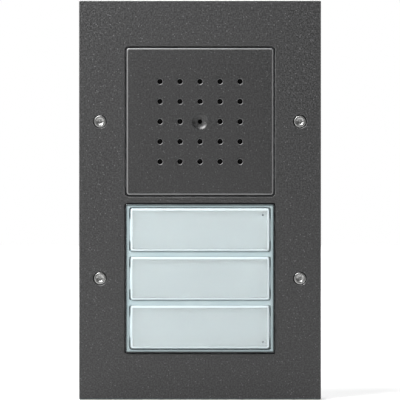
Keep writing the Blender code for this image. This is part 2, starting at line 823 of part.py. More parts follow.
def housing(name, module, tray_size, tray_front, floor, floor_hole, pot_end, material):
    """A square tray in front of the carrier plate and a round pot through its opening."""
    body = slab(
        name,
        tray_size,
        tray_size,
        tray_front,
        BASE,
        corner=TRAY_CORNER,
        parent=module,
        material=material,
    )
    inner = tray_size - 2 * TRAY_WALL
    pocket = slab(
        f"{name}_pocket", inner, inner, tray_front - THROUGH, BASE - floor, corner=INNER_CORNER, parent=module
    )
    cut(body, pocket)
    join(body, rod(f"{name}_pot", POT_RADIUS, BASE - floor / 2, pot_end, steps=POT_STEPS, parent=module))
    cut(body, rod(f"{name}_bore", POT_BORE, BASE, pot_end + THROUGH, steps=POT_STEPS, parent=module))
    mouth_front = BASE - floor - THROUGH
    cut(body, rod(f"{name}_mouth", floor_hole, mouth_front, BASE + THROUGH, steps=POT_STEPS, parent=module))
    return body


def speaker(voice):
    """The loudspeaker: gasket, basket, cone and magnet."""
    seat = SPEAKER_RADIUS - SPEAKER_SEAT
    gasket = (
        (seat, BAFFLE_BACK + GAP),
        (SPEAKER_RADIUS, BAFFLE_BACK + GAP),
        (SPEAKER_RADIUS, FLANGE_FRONT - GAP),
        (seat, FLANGE_FRONT - GAP),
    )
    turned("speaker_gasket", gasket, parent=voice, material=seal_rubber())
    rim = seat - 2 * GAP
    plate_front = BASKET_BACK - SPEAKER_SHEET
    coil = MAGNET_RADIUS / 2
    basket = (
        (rim - SPEAKER_SHEET / 2, FLANGE_FRONT),
        (SPEAKER_RADIUS, FLANGE_FRONT),
        (SPEAKER_RADIUS, FLANGE_BACK),
        (rim, FLANGE_BACK),
        (BASKET_NECK, plate_front),
        (BASKET_NECK, BASKET_BACK),
        (coil, BASKET_BACK),
        (coil, plate_front),
        (BASKET_NECK - SPEAKER_SHEET, plate_front - SPEAKER_SHEET / 2),
        (rim - SPEAKER_SHEET, FLANGE_BACK - GAP),
    )
    turned("speaker_basket", basket, parent=voice, material=galvanised_steel())
    middle = FLANGE_BACK + SPEAKER_DEPTH / 2
    cap = coil - GAP
    roll = CONE_SHEET / 2
    front_side = (
        (0, middle - DUST_CAP_HEIGHT),
        (cap / 2, middle - DUST_CAP_SHOULDER * DUST_CAP_HEIGHT),
        (cap, middle),
        (CONE_RADIUS - SURROUND_WIDTH, FLANGE_FRONT + 2 * roll),
        (CONE_RADIUS - SURROUND_WIDTH / 2, FLANGE_FRONT),
        (CONE_RADIUS, FLANGE_FRONT + roll),
    )
    back_side = tuple((radius, y + CONE_SHEET) for radius, y in reversed(front_side))
    turned("speaker_cone", front_side + back_side, steps=DISC_STEPS, parent=voice, material=cone_paper())
    step = MAGNET_DEPTH / 5
    magnet = (
        (0, MAGNET_FRONT),
        (MAGNET_RADIUS - step, MAGNET_FRONT),
        (MAGNET_RADIUS - step, MAGNET_FRONT + step),
        (MAGNET_RADIUS, MAGNET_FRONT + step),
        (MAGNET_RADIUS, MAGNET_BACK - step),
        (MAGNET_RADIUS - step, MAGNET_BACK - step),
        (MAGNET_RADIUS - step, MAGNET_BACK),
        (0, MAGNET_BACK),
    )
    turned("speaker_magnet", magnet, parent=voice, material=magnet_ferrite())


def voice_board(voice):
    """The round circuit board with its amplifier chip and capacitor."""
    rod(
        "voice_board",
        BOARD_RADIUS,
        VOICE_BOARD_FRONT,
        VOICE_BOARD_BACK,
        steps=POT_STEPS,
        parent=voice,
        material=board_laminate(),
    )
    slab(
        "amplifier_chip",
        CHIP_SIZE,
        CHIP_SIZE,
        VOICE_BOARD_FRONT - GAP - CHIP_DEPTH,
        VOICE_BOARD_FRONT - GAP,
        at=(CHIP_X, 0),
        parent=voice,
        material=chip_epoxy(),
    )
    rod(
        "capacitor",
        CAPACITOR_RADIUS,
        VOICE_BOARD_BACK + GAP,
        VOICE_BOARD_BACK + GAP + CAPACITOR_DEPTH,
        at=CAPACITOR_AT,
        steps=DISC_STEPS,
        parent=voice,
        material=capsule_aluminium(),
    )


def volume_trimmer(voice):
    """The volume control on the board: a base with a round well, and a slotted dial that turns in it."""
    base_front = VOICE_BOARD_BACK + GAP
    base_back = base_front + DIAL_BASE_DEPTH
    base = slab(
        "volume_base",
        DIAL_BASE,
        DIAL_BASE,
        base_front,
        base_back,
        at=DIAL_AT,
        parent=voice,
        material=black_plastic(),
    )
    well_floor = base_front + DIAL_WELL_FLOOR
    well_end = base_back + THROUGH
    cut(base, rod("dial_well", DIAL_RADIUS + GAP, well_floor, well_end, DIAL_AT, DISC_STEPS, voice))
    axis = new_empty("volume_axis", (DIAL_AT[0], base_back, DIAL_AT[1]), voice)
    dial_end = VOICE_BACK_END - 2 * GAP - base_back
    dial = rod(
        "volume_dial",
        DIAL_RADIUS,
        well_floor + GAP - base_back,
        dial_end,
        steps=DISC_STEPS,
        parent=axis,
        material=white_plastic(),
    )
    slot = slab(
        "dial_slot", DIAL_SLOT, 3 * DIAL_RADIUS, dial_end - DIAL_SLOT, dial_end + THROUGH, parent=axis
    )
    cut(dial, slot)


def terminals(voice):
    """The two-wire terminal block and its screws."""
    front = VOICE_BOARD_BACK + GAP
    back = VOICE_BACK_END + TERMINAL_PROUD
    block = slab(
        "terminal_block",
        TERMINAL_WIDTH,
        TERMINAL_HEIGHT,
        front,
        back,
        at=TERMINAL_AT,
        parent=voice,
        material=terminal_plastic(),
    )
    metal = galvanised_steel()
    for number, side in enumerate((-1, 1), 1):
        x = TERMINAL_AT[0] + side * TERMINAL_PITCH / 2
        screw_at = (x, TERMINAL_AT[1] + TERMINAL_HEIGHT / 4)
        wire_at = (x, TERMINAL_AT[1] - TERMINAL_HEIGHT / 4)
        well = (TERMINAL_SCREW_RADIUS + GAP, back - TERMINAL_WELL, back + THROUGH)
        cut(
            block,
            rod(f"screw_well_{number}", *well, screw_at, SMALL_STEPS, voice),
            rod(f"wire_entry_{number}", *well, wire_at, SMALL_STEPS, voice),
        )
        end = back - TERMINAL_WELL + GAP + TERMINAL_SCREW_DEPTH
        screw = rod(
            f"terminal_screw_{number}",
            TERMINAL_SCREW_RADIUS,
            back - TERMINAL_WELL + GAP,
            end,
            screw_at,
            SMALL_STEPS,
            voice,
            metal,
        )
        slot = slab(
            f"terminal_slot_{number}",
            TERMINAL_SCREW_RADIUS / 2,
            3 * TERMINAL_SCREW_RADIUS,
            end - TERMINAL_SCREW_RADIUS / 2,
            end + THROUGH,
            at=screw_at,
            parent=voice,
        )
        cut(screw, slot)


def rear_cover(name, module, disc_front, disc_back, material):
    """A round cover whose ring fits inside the housing's pot."""
    spigot = POT_BORE - GAP
    profile = (
        (0, disc_front),
        (spigot - SPIGOT_WALL, disc_front),
        (spigot - SPIGOT_WALL, disc_front - SPIGOT_DEPTH),
        (spigot, disc_front - SPIGOT_DEPTH),
        (spigot, disc_front),
        (POT_RADIUS, disc_front),
        (POT_RADIUS, disc_back),
        (0, disc_back),
    )
    return turned(name, profile, steps=POT_STEPS, parent=module, material=material)


def window_cutter(name, module, size, at, disc_front, disc_back):
    """A rectangular window through a rear cover, around what comes out of it."""
    width, height = size
    return slab(
        name,
        width + 2 * WINDOW_CLEARANCE,
        height + 2 * WINDOW_CLEARANCE,
        disc_front - THROUGH,
        disc_back + THROUGH,
        at=at,
        parent=module,
    )


def voice_back(voice):
    """The voice unit's rear cover, open at the terminals, the volume dial and the link plug."""
    levels = (VOICE_BACK_FRONT, VOICE_BACK_END)
    cover = rear_cover("voice_back", voice, *levels, black_plastic())
    block = (TERMINAL_WIDTH, TERMINAL_HEIGHT)
    cut(cover, window_cutter("terminal_window", voice, block, TERMINAL_AT, *levels))
    cut(cover, window_cutter("voice_link_window", voice, LINK_PLUG, (0, -LINK_Z), *levels))
    hole = rod(
        "dial_hole",
        DIAL_RADIUS + DIAL_HOLE_CLEARANCE,
        VOICE_BACK_FRONT - THROUGH,
        VOICE_BACK_END + THROUGH,
        DIAL_AT,
        DISC_STEPS,
        voice,
    )
    cut(cover, hole)


def voice_unit(voice):
    """Everything in the upper module."""
    voice_cover(voice)
    square_ring(
        "cover_seal", COVER_SIZE, COVER_INNER, COVER_SEAL_FRONT, BASE, COVER_CORNER, voice, seal_rubber()
    )
    sound_mesh(voice)
    speaker_baffle(voice)
    microphone(voice)
    housing(
        "voice_housing",
        voice,
        VOICE_TRAY_SIZE,
        VOICE_TRAY_FRONT,
        VOICE_FLOOR,
        SPEAKER_RADIUS - SPEAKER_SEAT,
        VOICE_POT_END,
        black_plastic(),
    )
    speaker(voice)
    voice_board(voice)
    volume_trimmer(voice)
    terminals(voice)
    voice_back(voice)


# ---------------------------------------------------------------- call unit


def button_rows():
    """The number and height of each button, from the top."""
    middle = (BUTTONS + 1) / 2
    return [(number, (middle - number) * BUTTON_PITCH, middle - number) for number in range(1, BUTTONS + 1)]


def button_frame(call):
    """The translucent frame with one window for each button and a wider step behind each window."""
    frame = slab(
        "button_frame",
        FRAME_SIZE,
        FRAME_SIZE,
        FRAME_FRONT,
        FRAME_BACK,
        corner=FRAME_CORNER,
        edge=FRAME_EDGE,
        parent=call,
        material=frame_plastic(),
    )
    width = CAP_WIDTH + 2 * CAP_GAP
    height = CAP_HEIGHT + 2 * CAP_GAP
    for number, z, _ in button_rows():
        window = slab(
            f"window_{number}",
            width,
            height,
            FRAME_FRONT - THROUGH,
            FRAME_BACK + THROUGH,
            at=(0, z),
            corner=CAP_CORNER + CAP_GAP,
            parent=call,
        )
        step = slab(
            f"window_step_{number}",
            width + 2 * CAP_LIP,
            height + 2 * CAP_LIP,
            LEDGE,
            FRAME_BACK + THROUGH,
            at=(0, z),
            corner=CAP_CORNER + CAP_GAP,
            parent=call,
        )
        cut(frame, window, step)


def call_cap(number, axis, material):
    """A clear cap with a flange that stays behind the frame."""
    cap = slab(
        f"call_cap_{number}",
        CAP_WIDTH,
        CAP_HEIGHT,
        CAP_FRONT,
        CAP_BACK - CAP_FLANGE / 2,
        corner=CAP_CORNER,
        edge=CAP_EDGE,
        parent=axis,
        material=material,
    )
    flange = slab(
        f"cap_flange_{number}",
        CAP_WIDTH + 2 * CAP_LIP,
        CAP_HEIGHT + 2 * CAP_LIP,
        CAP_FLANGE_FRONT,
        CAP_BACK,
        corner=CAP_CORNER,
        parent=axis,
    )
    hollow = slab(
        f"cap_hollow_{number}",
        CAP_WIDTH - 2 * CAP_SIDE,
        CAP_HEIGHT - 2 * CAP_SIDE,
        CAP_FRONT + CAP_WALL,
        CAP_BACK + THROUGH,
        corner=CARD_CORNER + GAP,
        parent=axis,
    )
    join(cap, flange)
    cut(cap, hollow)


def button_tray(number, axis, presser_z, material):
    """The white tray inside a cap. Its peg presses the switch."""
    back = CAP_BACK - BUTTON_TRAY_SHORT
    tray = slab(
        f"button_tray_{number}",
        CARD_WIDTH,
        CARD_HEIGHT,
        BUTTON_TRAY_TOP,
        back,
        corner=CARD_CORNER,
        parent=axis,
        material=material,
    )
    hollow = slab(
        f"tray_hollow_{number}",
        CARD_WIDTH - 2 * BUTTON_TRAY_SIDE,
        CARD_HEIGHT - 2 * BUTTON_TRAY_SIDE,
        BUTTON_TRAY_TOP + BUTTON_TRAY_FRONT,
        back + THROUGH,
        parent=axis,
    )
    peg = rod(
        f"tray_peg_{number}",
        PRESSER_RADIUS,
        BUTTON_TRAY_TOP + BUTTON_TRAY_FRONT / 2,
        PRESSER_BACK,
        (0, presser_z),
        SMALL_STEPS,
        axis,
    )
    cut(tray, hollow)
    join(tray, peg)


def call_buttons(call):
    """The three buttons: cap, name card, tray and the switch's plunger move together along Y."""
    clear = clear_plastic()
    card = white_card()
    white = white_plastic()
    black = black_plastic()
    for number, z, row in button_rows():
        axis = new_empty(f"button_{number}_axis", (0, 0, z), call)
        switch_z = row * SWITCH_ROW - z
        call_cap(number, axis, clear)
        slab(
            f"name_card_{number}",
            CARD_WIDTH,
            CARD_HEIGHT,
            CARD_FRONT,
            CARD_BACK,
            corner=CARD_CORNER,
            parent=axis,
            material=card,
        )
        button_tray(number, axis, switch_z, white)
        rod(
            f"switch_plunger_{number}",
            PLUNGER_RADIUS,
            PLUNGER_FRONT,
            PLUNGER_BACK,
            (0, switch_z),
            SMALL_STEPS,
            axis,
            black,
        )


def call_board(call):
    """The round board with a switch and a lamp behind each button."""
    rod(
        "call_board",
        BOARD_RADIUS,
        CALL_BOARD_FRONT,
        CALL_BOARD_BACK,
        steps=POT_STEPS,
        parent=call,
        material=board_laminate(),
    )
    dark = chip_epoxy()
    resin = lamp_resin()
    for number, _, row in button_rows():
        z = row * SWITCH_ROW
        switch = slab(
            f"switch_body_{number}",
            SWITCH_SIZE,
            SWITCH_SIZE,
            SWITCH_FRONT,
            SWITCH_BACK,
            at=(0, z),
            parent=call,
            material=dark,
        )
        bore = (PLUNGER_RADIUS + GAP, SWITCH_FRONT - THROUGH, SWITCH_BACK - SWITCH_FLOOR)
        cut(switch, rod(f"switch_bore_{number}", *bore, (0, z), SMALL_STEPS, call))
        slab(
            f"card_lamp_{number}",
            *LAMP_SIZE,
            SWITCH_BACK - LAMP_DEPTH,
            SWITCH_BACK,
            at=(LAMP_X, z),
            parent=call,
            material=resin,
        )


def call_back(call):
    """The call unit's rear cover, open at the link plug."""
    levels = (CALL_BACK_FRONT, CALL_BACK_END)
    cover = rear_cover("call_back", call, *levels, grey_plastic())
    cut(cover, window_cutter("call_link_window", call, LINK_PLUG, (0, LINK_Z), *levels))


def call_unit(call):
    """Everything in the lower module."""
    button_frame(call)
    inner = CALL_TRAY_SIZE - 2 * TRAY_WALL
    square_ring(
        "frame_seal",
        CALL_TRAY_SIZE,
        inner,
        FRAME_SEAL_FRONT,
        FRAME_SEAL_BACK,
        FRAME_CORNER,
        call,
        seal_rubber(),
    )
    call_buttons(call)
    call_board(call)
    housing(
        "call_housing",
        call,
        CALL_TRAY_SIZE,
        CALL_TRAY_FRONT,
        CALL_FLOOR,
        BOARD_RADIUS - BOARD_LIP,
        CALL_POT_END,
        grey_plastic(),
    )
    call_back(call)


# ---------------------------------------------------------------- link between the units


def link(voice, call):
    """The lead from the call unit to the voice unit, with a socket and a plug at each end."""
    white = white_plastic()
    black = black_plastic()
    ends = []
    sockets = (
        ("voice", voice, -LINK_Z, VOICE_BOARD_BACK, VOICE_SOCKET_DEPTH, VOICE_BACK_END),
        ("call", call, LINK_Z, CALL_BOARD_BACK, CALL_SOCKET_DEPTH, CALL_BACK_END),
    )
    for name, module, z, board, depth, cover in sockets:
        front = board + GAP
        slab(f"{name}_socket", *LINK_SOCKET, front, front + depth, at=(0, z), parent=module, material=white)
        plug_front = front + depth + GAP
        plug_back = cover + PLUG_PROUD
        slab(f"{name}_plug", *LINK_PLUG, plug_front, plug_back, at=(0, z), parent=module, material=black)
        inward = 1 if z > 0 else -1
        face = module.location.z + z + inward * (LINK_PLUG[1] / 2 + GAP)
        ends.append(Vector((0, cover + PLUG_PROUD / 2, face)))
    curve = bpy.data.curves.new("link_lead", "CURVE")
    curve.dimensions = "3D"
    curve.bevel_depth = LEAD_RADIUS
    curve.bevel_resolution = 2
    curve.use_fill_caps = True
    curve.materials.append(lead_sheath())
    route = curve.splines.new("POLY")
    route.points.add(LEAD_POINTS - 1)
    top, bottom = ends
    for index, point in enumerate(route.points):
        share = index / (LEAD_POINTS - 1)
        across = min(max((share - LEAD_STRAIGHT) / (1 - 2 * LEAD_STRAIGHT), 0), 1)
        blend = (1 - math.cos(math.pi * across)) / 2
        y = top.y + (bottom.y - top.y) * blend
        z = top.z + (bottom.z - top.z) * share
        point.co = (0, y, z, 1)
    PARTS.objects.link(bpy.data.objects.new("link_lead", curve))


def main():
    voice = new_empty("voice_unit", (0, 0, MODULE_PITCH / 2))
    call = new_empty("call_unit", (0, 0, -MODULE_PITCH / 2))
    front_plate(voice, call)
    rim_seal()
    carrier_plate(voice, call)
    cover_screws()
    spacer_sleeves()
    voice_unit(voice)
    call_unit(call)
    link(voice, call)


main()
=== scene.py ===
"""Door intercom panel: its visible pieces and finishes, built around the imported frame.

The panel faces -Y, +X is to the right as seen from the front, and +Z is up. The origin is
the middle of the panel in the plane of the wall. Lengths are in metres.
"""

import math

import bmesh
import bpy
from bpy.props import FloatProperty, FloatVectorProperty, PointerProperty
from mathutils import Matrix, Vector


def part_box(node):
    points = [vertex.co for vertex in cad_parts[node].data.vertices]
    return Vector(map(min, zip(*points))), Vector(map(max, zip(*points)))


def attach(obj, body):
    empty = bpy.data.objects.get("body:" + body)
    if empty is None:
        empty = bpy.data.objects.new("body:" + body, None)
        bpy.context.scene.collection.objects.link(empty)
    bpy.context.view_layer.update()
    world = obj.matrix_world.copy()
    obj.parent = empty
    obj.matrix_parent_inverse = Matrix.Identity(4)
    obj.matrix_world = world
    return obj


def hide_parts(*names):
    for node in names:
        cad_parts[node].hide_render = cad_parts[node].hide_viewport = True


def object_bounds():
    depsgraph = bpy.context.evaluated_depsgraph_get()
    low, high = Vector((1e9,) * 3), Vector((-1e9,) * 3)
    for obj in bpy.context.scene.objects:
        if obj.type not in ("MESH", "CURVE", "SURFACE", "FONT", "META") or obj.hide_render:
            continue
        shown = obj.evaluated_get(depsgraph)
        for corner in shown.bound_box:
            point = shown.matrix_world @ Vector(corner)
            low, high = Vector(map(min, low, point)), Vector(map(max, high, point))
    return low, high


bl_info = {
    "name": "Door intercom panel",
    "version": (1, 0, 0),
    "blender": (4, 5, 0),
    "location": "3D View > Sidebar > Intercom",
    "description": "Models the visible pieces of a door intercom panel and mixes their finishes",
    "category": "Object",
}

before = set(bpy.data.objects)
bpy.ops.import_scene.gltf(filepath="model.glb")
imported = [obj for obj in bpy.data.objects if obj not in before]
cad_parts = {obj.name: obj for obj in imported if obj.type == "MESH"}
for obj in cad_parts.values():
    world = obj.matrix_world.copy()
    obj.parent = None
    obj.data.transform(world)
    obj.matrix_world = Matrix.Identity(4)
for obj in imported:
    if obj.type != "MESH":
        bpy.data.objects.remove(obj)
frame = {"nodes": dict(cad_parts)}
CAD_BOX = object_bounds()

TOUCH = 0.00002  # how far off a plane a face or edge may be and still lie on it
THROUGH = 0.001  # how far a cutter runs past what it cuts
DOUBLE = 0.000002  # corners nearer to each other than this are one corner
GAP = 0.0003  # clear space where one piece stands on another
PANEL = "panel"  # the body that stays on the wall
BUTTONS = (1, 2, 3)
SCREWS = (1, 2, 3, 4)


def box(node):
    """Lowest and highest corner of a node of the frame."""
    low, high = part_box(node)
    return Vector(low), Vector(high)


def middle(node):
    """The middle of a node of the frame."""
    low, high = box(node)
    return (low + high) / 2


# The material slot of each node of the frame
SLOTS = {name: node.data.materials[0].name.split(".")[0] for name, node in frame["nodes"].items()}


# ---------------------------------------------------------------- sizes and colours


def length(name, description, default):
    """A size in metres."""
    return FloatProperty(
        name=name, description=description, default=default, min=0, precision=5, unit="LENGTH"
    )


def colour(name, description, default):
    """A colour, as linear red, green and blue."""
    return FloatVectorProperty(
        name=name, description=description, default=default, min=0, max=1, subtype="COLOR"
    )


class PanelSizes(bpy.types.PropertyGroup):
    """Sizes that the frame's boxes don't give."""

    plate_wall: length("Plate wall", "Thickness of the plate's front and sides", 0.0025)
    plate_corner: length("Plate corner", "Corner radius of the plate", 0.0005)
    plate_edge: length("Plate edge", "Rounding of the plate's outer edges", 0.0004)
    opening_edge: length("Opening edge", "Rounding around the plate's openings", 0.0002)
    boss_radius: length("Boss radius", "Boss behind each cover screw", 0.0044)
    screw_clearance: length("Screw clearance", "Counterbore around a screw's head", 0.00045)
    cover_joint: length("Cover joint", "Open joint around the voice cover", 0.00092)
    cover_corner: length("Cover corner", "Corner radius of the voice cover", 0.0011)
    cover_slope: length("Cover slope", "Width of the slope around the voice cover's front", 0.0006)
    cover_drop: length("Cover drop", "Depth of the slope around the voice cover's front", 0.00028)
    cover_edge: length("Cover edge", "Rounding where the slope meets the sides", 0.0001)
    cover_front: length("Cover front", "Thickness of the voice cover's front", 0.0020)
    cover_skirt: length("Cover skirt", "Thickness of the voice cover's sides", 0.0016)
    hole_pitch: length("Hole pitch", "Between the centres of two sound holes", 0.00906)
    hole_radius: length("Hole radius", "Radius of a sound hole", 0.0012)
    hole_rim: length("Hole rim", "Countersink around a sound hole", 0.00035)
    dish_radius: length("Dish radius", "Dish around the microphone's hole", 0.00368)
    dish_depth: length("Dish depth", "Depth of the microphone's dish", 0.0010)
    microphone_hole: length("Microphone hole", "Radius of the hole in the dish", 0.00105)
    frame_joint: length("Frame joint", "Open joint around the button frame", 0.0005)
    frame_corner: length("Frame corner", "Corner radius of the button frame", 0.0006)
    frame_edge: length("Frame edge", "Rounding of the button frame's front edges", 0.0003)
    window_edge: length("Window edge", "Rounding of the frame's edges around the caps", 0.00018)
    side_gap: length("Side gap", "Gap between a cap's short side and the frame", 0.0006)
    web_gap: length("Web gap", "Gap between a cap's long side and a web", 0.0001)
    end_gap: length("End gap", "Gap above the first cap and below the last one", 0.00045)
    cap_corner: length("Cap corner", "Corner radius of a call button's cap", 0.0009)
    cap_edge: length("Cap edge", "Rounding of a cap's front edge", 0.0005)
    cap_front: length("Cap front", "Thickness of a cap's front", 0.0012)
    cap_side: length("Cap side", "Thickness of a cap's sides", 0.0007)
    cap_hollow_corner: length("Cap hollow corner", "Corner radius inside a cap", 0.0007)
    cap_lip: length("Cap lip", "Flange of a cap beyond its long sides", 0.0006)
    cap_end_lip: length("Cap end lip", "Flange of a cap beyond its short sides", 0.0007)
    cap_flange: length("Cap flange", "Depth of a cap's flange", 0.0010)
    rim_width: length("Rim width", "Frosted rim of a cap, inside its rounding", 0.0006)
    # Painted highlight: the frosted rim is wider along the top, where the cap's rounded top edge
    # catches the light.
    rim_top_highlight: length("Rim top", "Extra width of the frosted rim along the top", 0.0002)
    guide_length: length("Guide length", "Guide at the middle of a cap's short sides", 0.0098)
    guide_height: length("Guide height", "Guide beyond the cap's side", 0.0005)
    pip_radius: length("Pip radius", "Lifting hole in the first and last cap", 0.0004)
    pip_inset: length("Pip inset", "From a lifting hole to the cap's nearest sides", 0.0030)
    head_radius: length("Head radius", "Radius of a cover screw's head", 0.0027)
    head_depth: length("Head depth", "Depth of a cover screw's head", 0.0016)
    head_crown: length("Head crown", "Height of the rounding around the head", 0.00022)
    shank_radius: length("Shank radius", "Radius of a cover screw's shank", 0.0015)
    shank_hole: length("Shank hole", "Radius of the hole for a screw's shank", 0.0018)
    shank_tip: length("Shank tip", "Chamfer at the end of a screw's shank", 0.0003)
    recess_radius: length("Recess radius", "Radius of a cover screw's recess", 0.00125)
    softening: length("Softening", "Rounding of the rear pieces' edges", 0.00015)


class PanelColours(bpy.types.PropertyGroup):
    """Colours of the finishes."""

    lacquer: colour("Lacquer", "Anthracite powder coat", (0.0188, 0.0188, 0.0192))
    cover: colour("Cover lacquer", "Powder coat of the voice cover", (0.0132, 0.0132, 0.0135))
    steel: colour("Steel", "Stainless steel of the cover screws", (0.35, 0.35, 0.345))
    zinc: colour("Zinc", "Galvanised steel of the carrier plate", (0.56, 0.58, 0.60))
    clear: colour("Clear plastic", "Tint of the caps", (0.95, 0.985, 0.99))
    frame: colour("Frame plastic", "Tint of the button frame", (0.365, 0.44, 0.455))
    card: colour("Card", "Name cards", (0.71, 0.83, 0.85))
    rim: colour("Cap rim", "Frosted rim of the caps", (0.63, 0.72, 0.75))
    # Painted shade: the lifting holes' faces take this dark tone, standing for the shade inside
    # them.
    pip: colour("Lifting hole", "Bottom of the caps' lifting holes", (0.10, 0.11, 0.12))
    # Painted highlight: the lacquers take this lighter tone on sloped edge faces, standing in for
    # the key light's highlights on them.
    edge: colour("Highlit edge", "Powder coat where it runs thin over an edge", (0.17, 0.17, 0.172))
    black: colour("Black plastic", "Voice housing", (0.018, 0.018, 0.019))
    grey: colour("Grey plastic", "Call housing", (0.30, 0.31, 0.32))
    rubber: colour("Rubber", "Seals", (0.022, 0.022, 0.023))
    backdrop: colour("Backdrop", "Floor of the studio", (0.52, 0.52, 0.52))


# ---------------------------------------------------------------- modelling helpers


def make_active(piece):
    """Select this piece and nothing else."""
    bpy.ops.object.select_all(action="DESELECT")
    piece.select_set(True)
    bpy.context.view_layer.objects.active = piece


def settle(name):
    """Name the piece just added, and put its place, turn and scale into its mesh."""
    piece = bpy.context.object
    piece.name = name
    piece.data.name = name
    make_active(piece)
    bpy.ops.object.transform_apply(location=True, rotation=True, scale=True)
    return piece


def add_block(name, low, high):
    """A box from one corner to the other."""
    bpy.ops.object.select_all(action="DESELECT")
    bpy.ops.mesh.primitive_cube_add(size=1, location=(low + high) / 2, scale=high - low)
    return settle(name)


def add_rod(name, radius, front, back, at, sides=48):
    """A round bar that runs along Y."""
    bpy.ops.object.select_all(action="DESELECT")
    bpy.ops.mesh.primitive_cylinder_add(
        vertices=sides,
        radius=radius,
        depth=back - front,
        location=(at[0], (front + back) / 2, at[1]),
        rotation=(math.pi / 2, 0, 0),
    )
    return settle(name)


def edit(piece, kind):
    """Enter edit mode with nothing selected."""
    make_active(piece)
    bpy.ops.object.mode_set(mode="EDIT")
    bpy.ops.mesh.select_mode(type=kind)
    bpy.ops.mesh.select_all(action="DESELECT")
    return bmesh.from_edit_mesh(piece.data)


def edit_all(piece):
    """Enter edit mode with everything selected."""
    edit(piece, "VERT")
    bpy.ops.mesh.select_all(action="SELECT")


def leave_edit():
    """Back to object mode."""
    bpy.ops.object.mode_set(mode="OBJECT")


def select(piece, kind, wanted):
    """Enter edit mode and select the vertices, edges or faces that are wanted."""
    shape = edit(piece, kind)
    group = {"VERT": shape.verts, "EDGE": shape.edges, "FACE": shape.faces}[kind]
    chosen = [part for part in group if wanted(part)]
    if not chosen:
        raise ValueError(f"{piece.name} has nothing where its {kind.lower()} was looked for")
    for part in chosen:
        part.select_set(True)
    bmesh.update_edit_mesh(piece.data)


def step_in(thickness, move):
    """Shrink the selected face by this much, and move it along Y."""
    bpy.ops.mesh.inset(thickness=thickness)
    if move:
        bpy.ops.transform.translate(value=(0, move, 0))


def push(depth):
    """Extrude the selected face along Y."""
    bpy.ops.mesh.extrude_region_move(TRANSFORM_OT_translate={"value": (0, depth, 0)})


def centre_of(edge):
    """The middle of an edge."""
    return (edge.verts[0].co + edge.verts[1].co) / 2


def along_y(edge):
    """True for an edge that is parallel to Y."""
    run = edge.verts[0].co - edge.verts[1].co
    return abs(run.x) < TOUCH and abs(run.z) < TOUCH and abs(run.y) > TOUCH


def is_sharp(edge):
    """True where two faces meet at a clear angle."""
    return len(edge.link_faces) == 2 and edge.calc_face_angle() > math.radians(40)


def round_edges(piece, wanted, width, segments):
    """Round the wanted edges."""
    select(piece, "EDGE", wanted)
    bpy.ops.mesh.bevel(
        offset=width, segments=segments, profile=0.5, affect="EDGES", face_strength_mode="ALL"
    )
    leave_edit()


def round_corners(piece, radius, segments=8):
    """Round the corners of a box, seen from the front."""
    round_edges(piece, along_y, radius, segments)


def at_level(y):
    """A test for sharp edges that lie on the plane at this Y."""
    return lambda edge: abs(centre_of(edge).y - y) < TOUCH and is_sharp(edge)


def hollow_from_back(piece, wall, depth):
    """Push the rear face in, and leave a wall around it."""
    back = max(corner.co.y for corner in piece.data.vertices)

    def at_back(face):
        return face.normal.y > 0.9 and face.calc_center_median().y > back - TOUCH

    select(piece, "FACE", at_back)
    bpy.ops.mesh.inset(thickness=wall)
    push(-depth)
    leave_edit()


def modify(piece, kind, **settings):
    """Add a modifier with these settings, and apply it."""
    make_active(piece)
    bpy.ops.object.modifier_add(type=kind)
    modifier = piece.modifiers[-1]
    for name, value in settings.items():
        setattr(modifier, name, value)
    bpy.ops.object.modifier_apply(modifier=modifier.name)


def combine(piece, other, operation):
    """Apply a Boolean to the piece, and remove the other object."""
    modify(piece, "BOOLEAN", operation=operation, solver="EXACT", object=other)
    make_active(other)
    bpy.ops.object.delete()


def cut(piece, *cutters):
    """Cut these shapes out of the piece."""
    for cutter in cutters:
        combine(piece, cutter, "DIFFERENCE")


def join(piece, *others):
    """Add these shapes to the piece."""
    for other in others:
        combine(piece, other, "UNION")


def copy_moved(piece, name, move):
    """A copy of the piece with its own mesh, moved."""
    make_active(piece)
    bpy.ops.object.duplicate(linked=False)
    bpy.ops.transform.translate(value=move)
    return settle(name)


def gathered(name, pieces):
    """Several objects as one."""
    make_active(pieces[0])
    for piece in pieces:
        piece.select_set(True)
    bpy.ops.object.join()
    return settle(name)


def slice_at(piece, spot, normal):
    """Add a line of edges all round the piece, in the plane through this spot."""
    edit_all(piece)
    bpy.ops.mesh.bisect(plane_co=spot, plane_no=normal)
    leave_edit()


def merge_doubles(piece):
    """Merge doubled corners."""
    edit_all(piece)
    bpy.ops.mesh.remove_doubles(threshold=DOUBLE)
    leave_edit()


def clean(piece):
    """Merge doubled corners and dissolve the edges that cross flat faces."""
    merge_doubles(piece)
    edit_all(piece)
    bpy.ops.mesh.dissolve_limited(angle_limit=math.radians(0.5))
    leave_edit()


def shade(piece):
    """Smooth what is round and keep flat faces flat."""
    make_active(piece)
    bpy.ops.object.shade_smooth_by_angle(angle=math.radians(35))
    modify(piece, "WEIGHTED_NORMAL", keep_sharp=True, use_face_influence=True)


def mark(piece, name, wanted):
    """Give the piece an attribute that is 1 on the wanted faces and 0 elsewhere."""
    marks = piece.data.attributes.new(name, "FLOAT", "FACE")
    marks.data.foreach_set("value", [float(wanted(face)) for face in piece.data.polygons])


def slopes(face):
    """True for a face that is neither flat to the front nor upright."""
    return 0.3 < -face.normal.y < 0.96


def place(piece, body, node, finish):
    """Let the finished piece stand for its node, ride on its body and take its finish."""
    shade(piece)
    piece.data.materials.clear()
    piece.data.materials.append(finish)
    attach(piece, body)
    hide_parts(node)


# ---------------------------------------------------------------- material helpers


def new_finish(name, **values):
    """A material with one shader. The values go to the shader's sockets."""
    made = bpy.data.materials.new(f"{name}_finish")
    made.use_nodes = True
    shader = made.node_tree.nodes["Principled BSDF"]
    for socket, value in values.items():
        shader.inputs[socket.replace("_", " ")].default_value = value
    return made


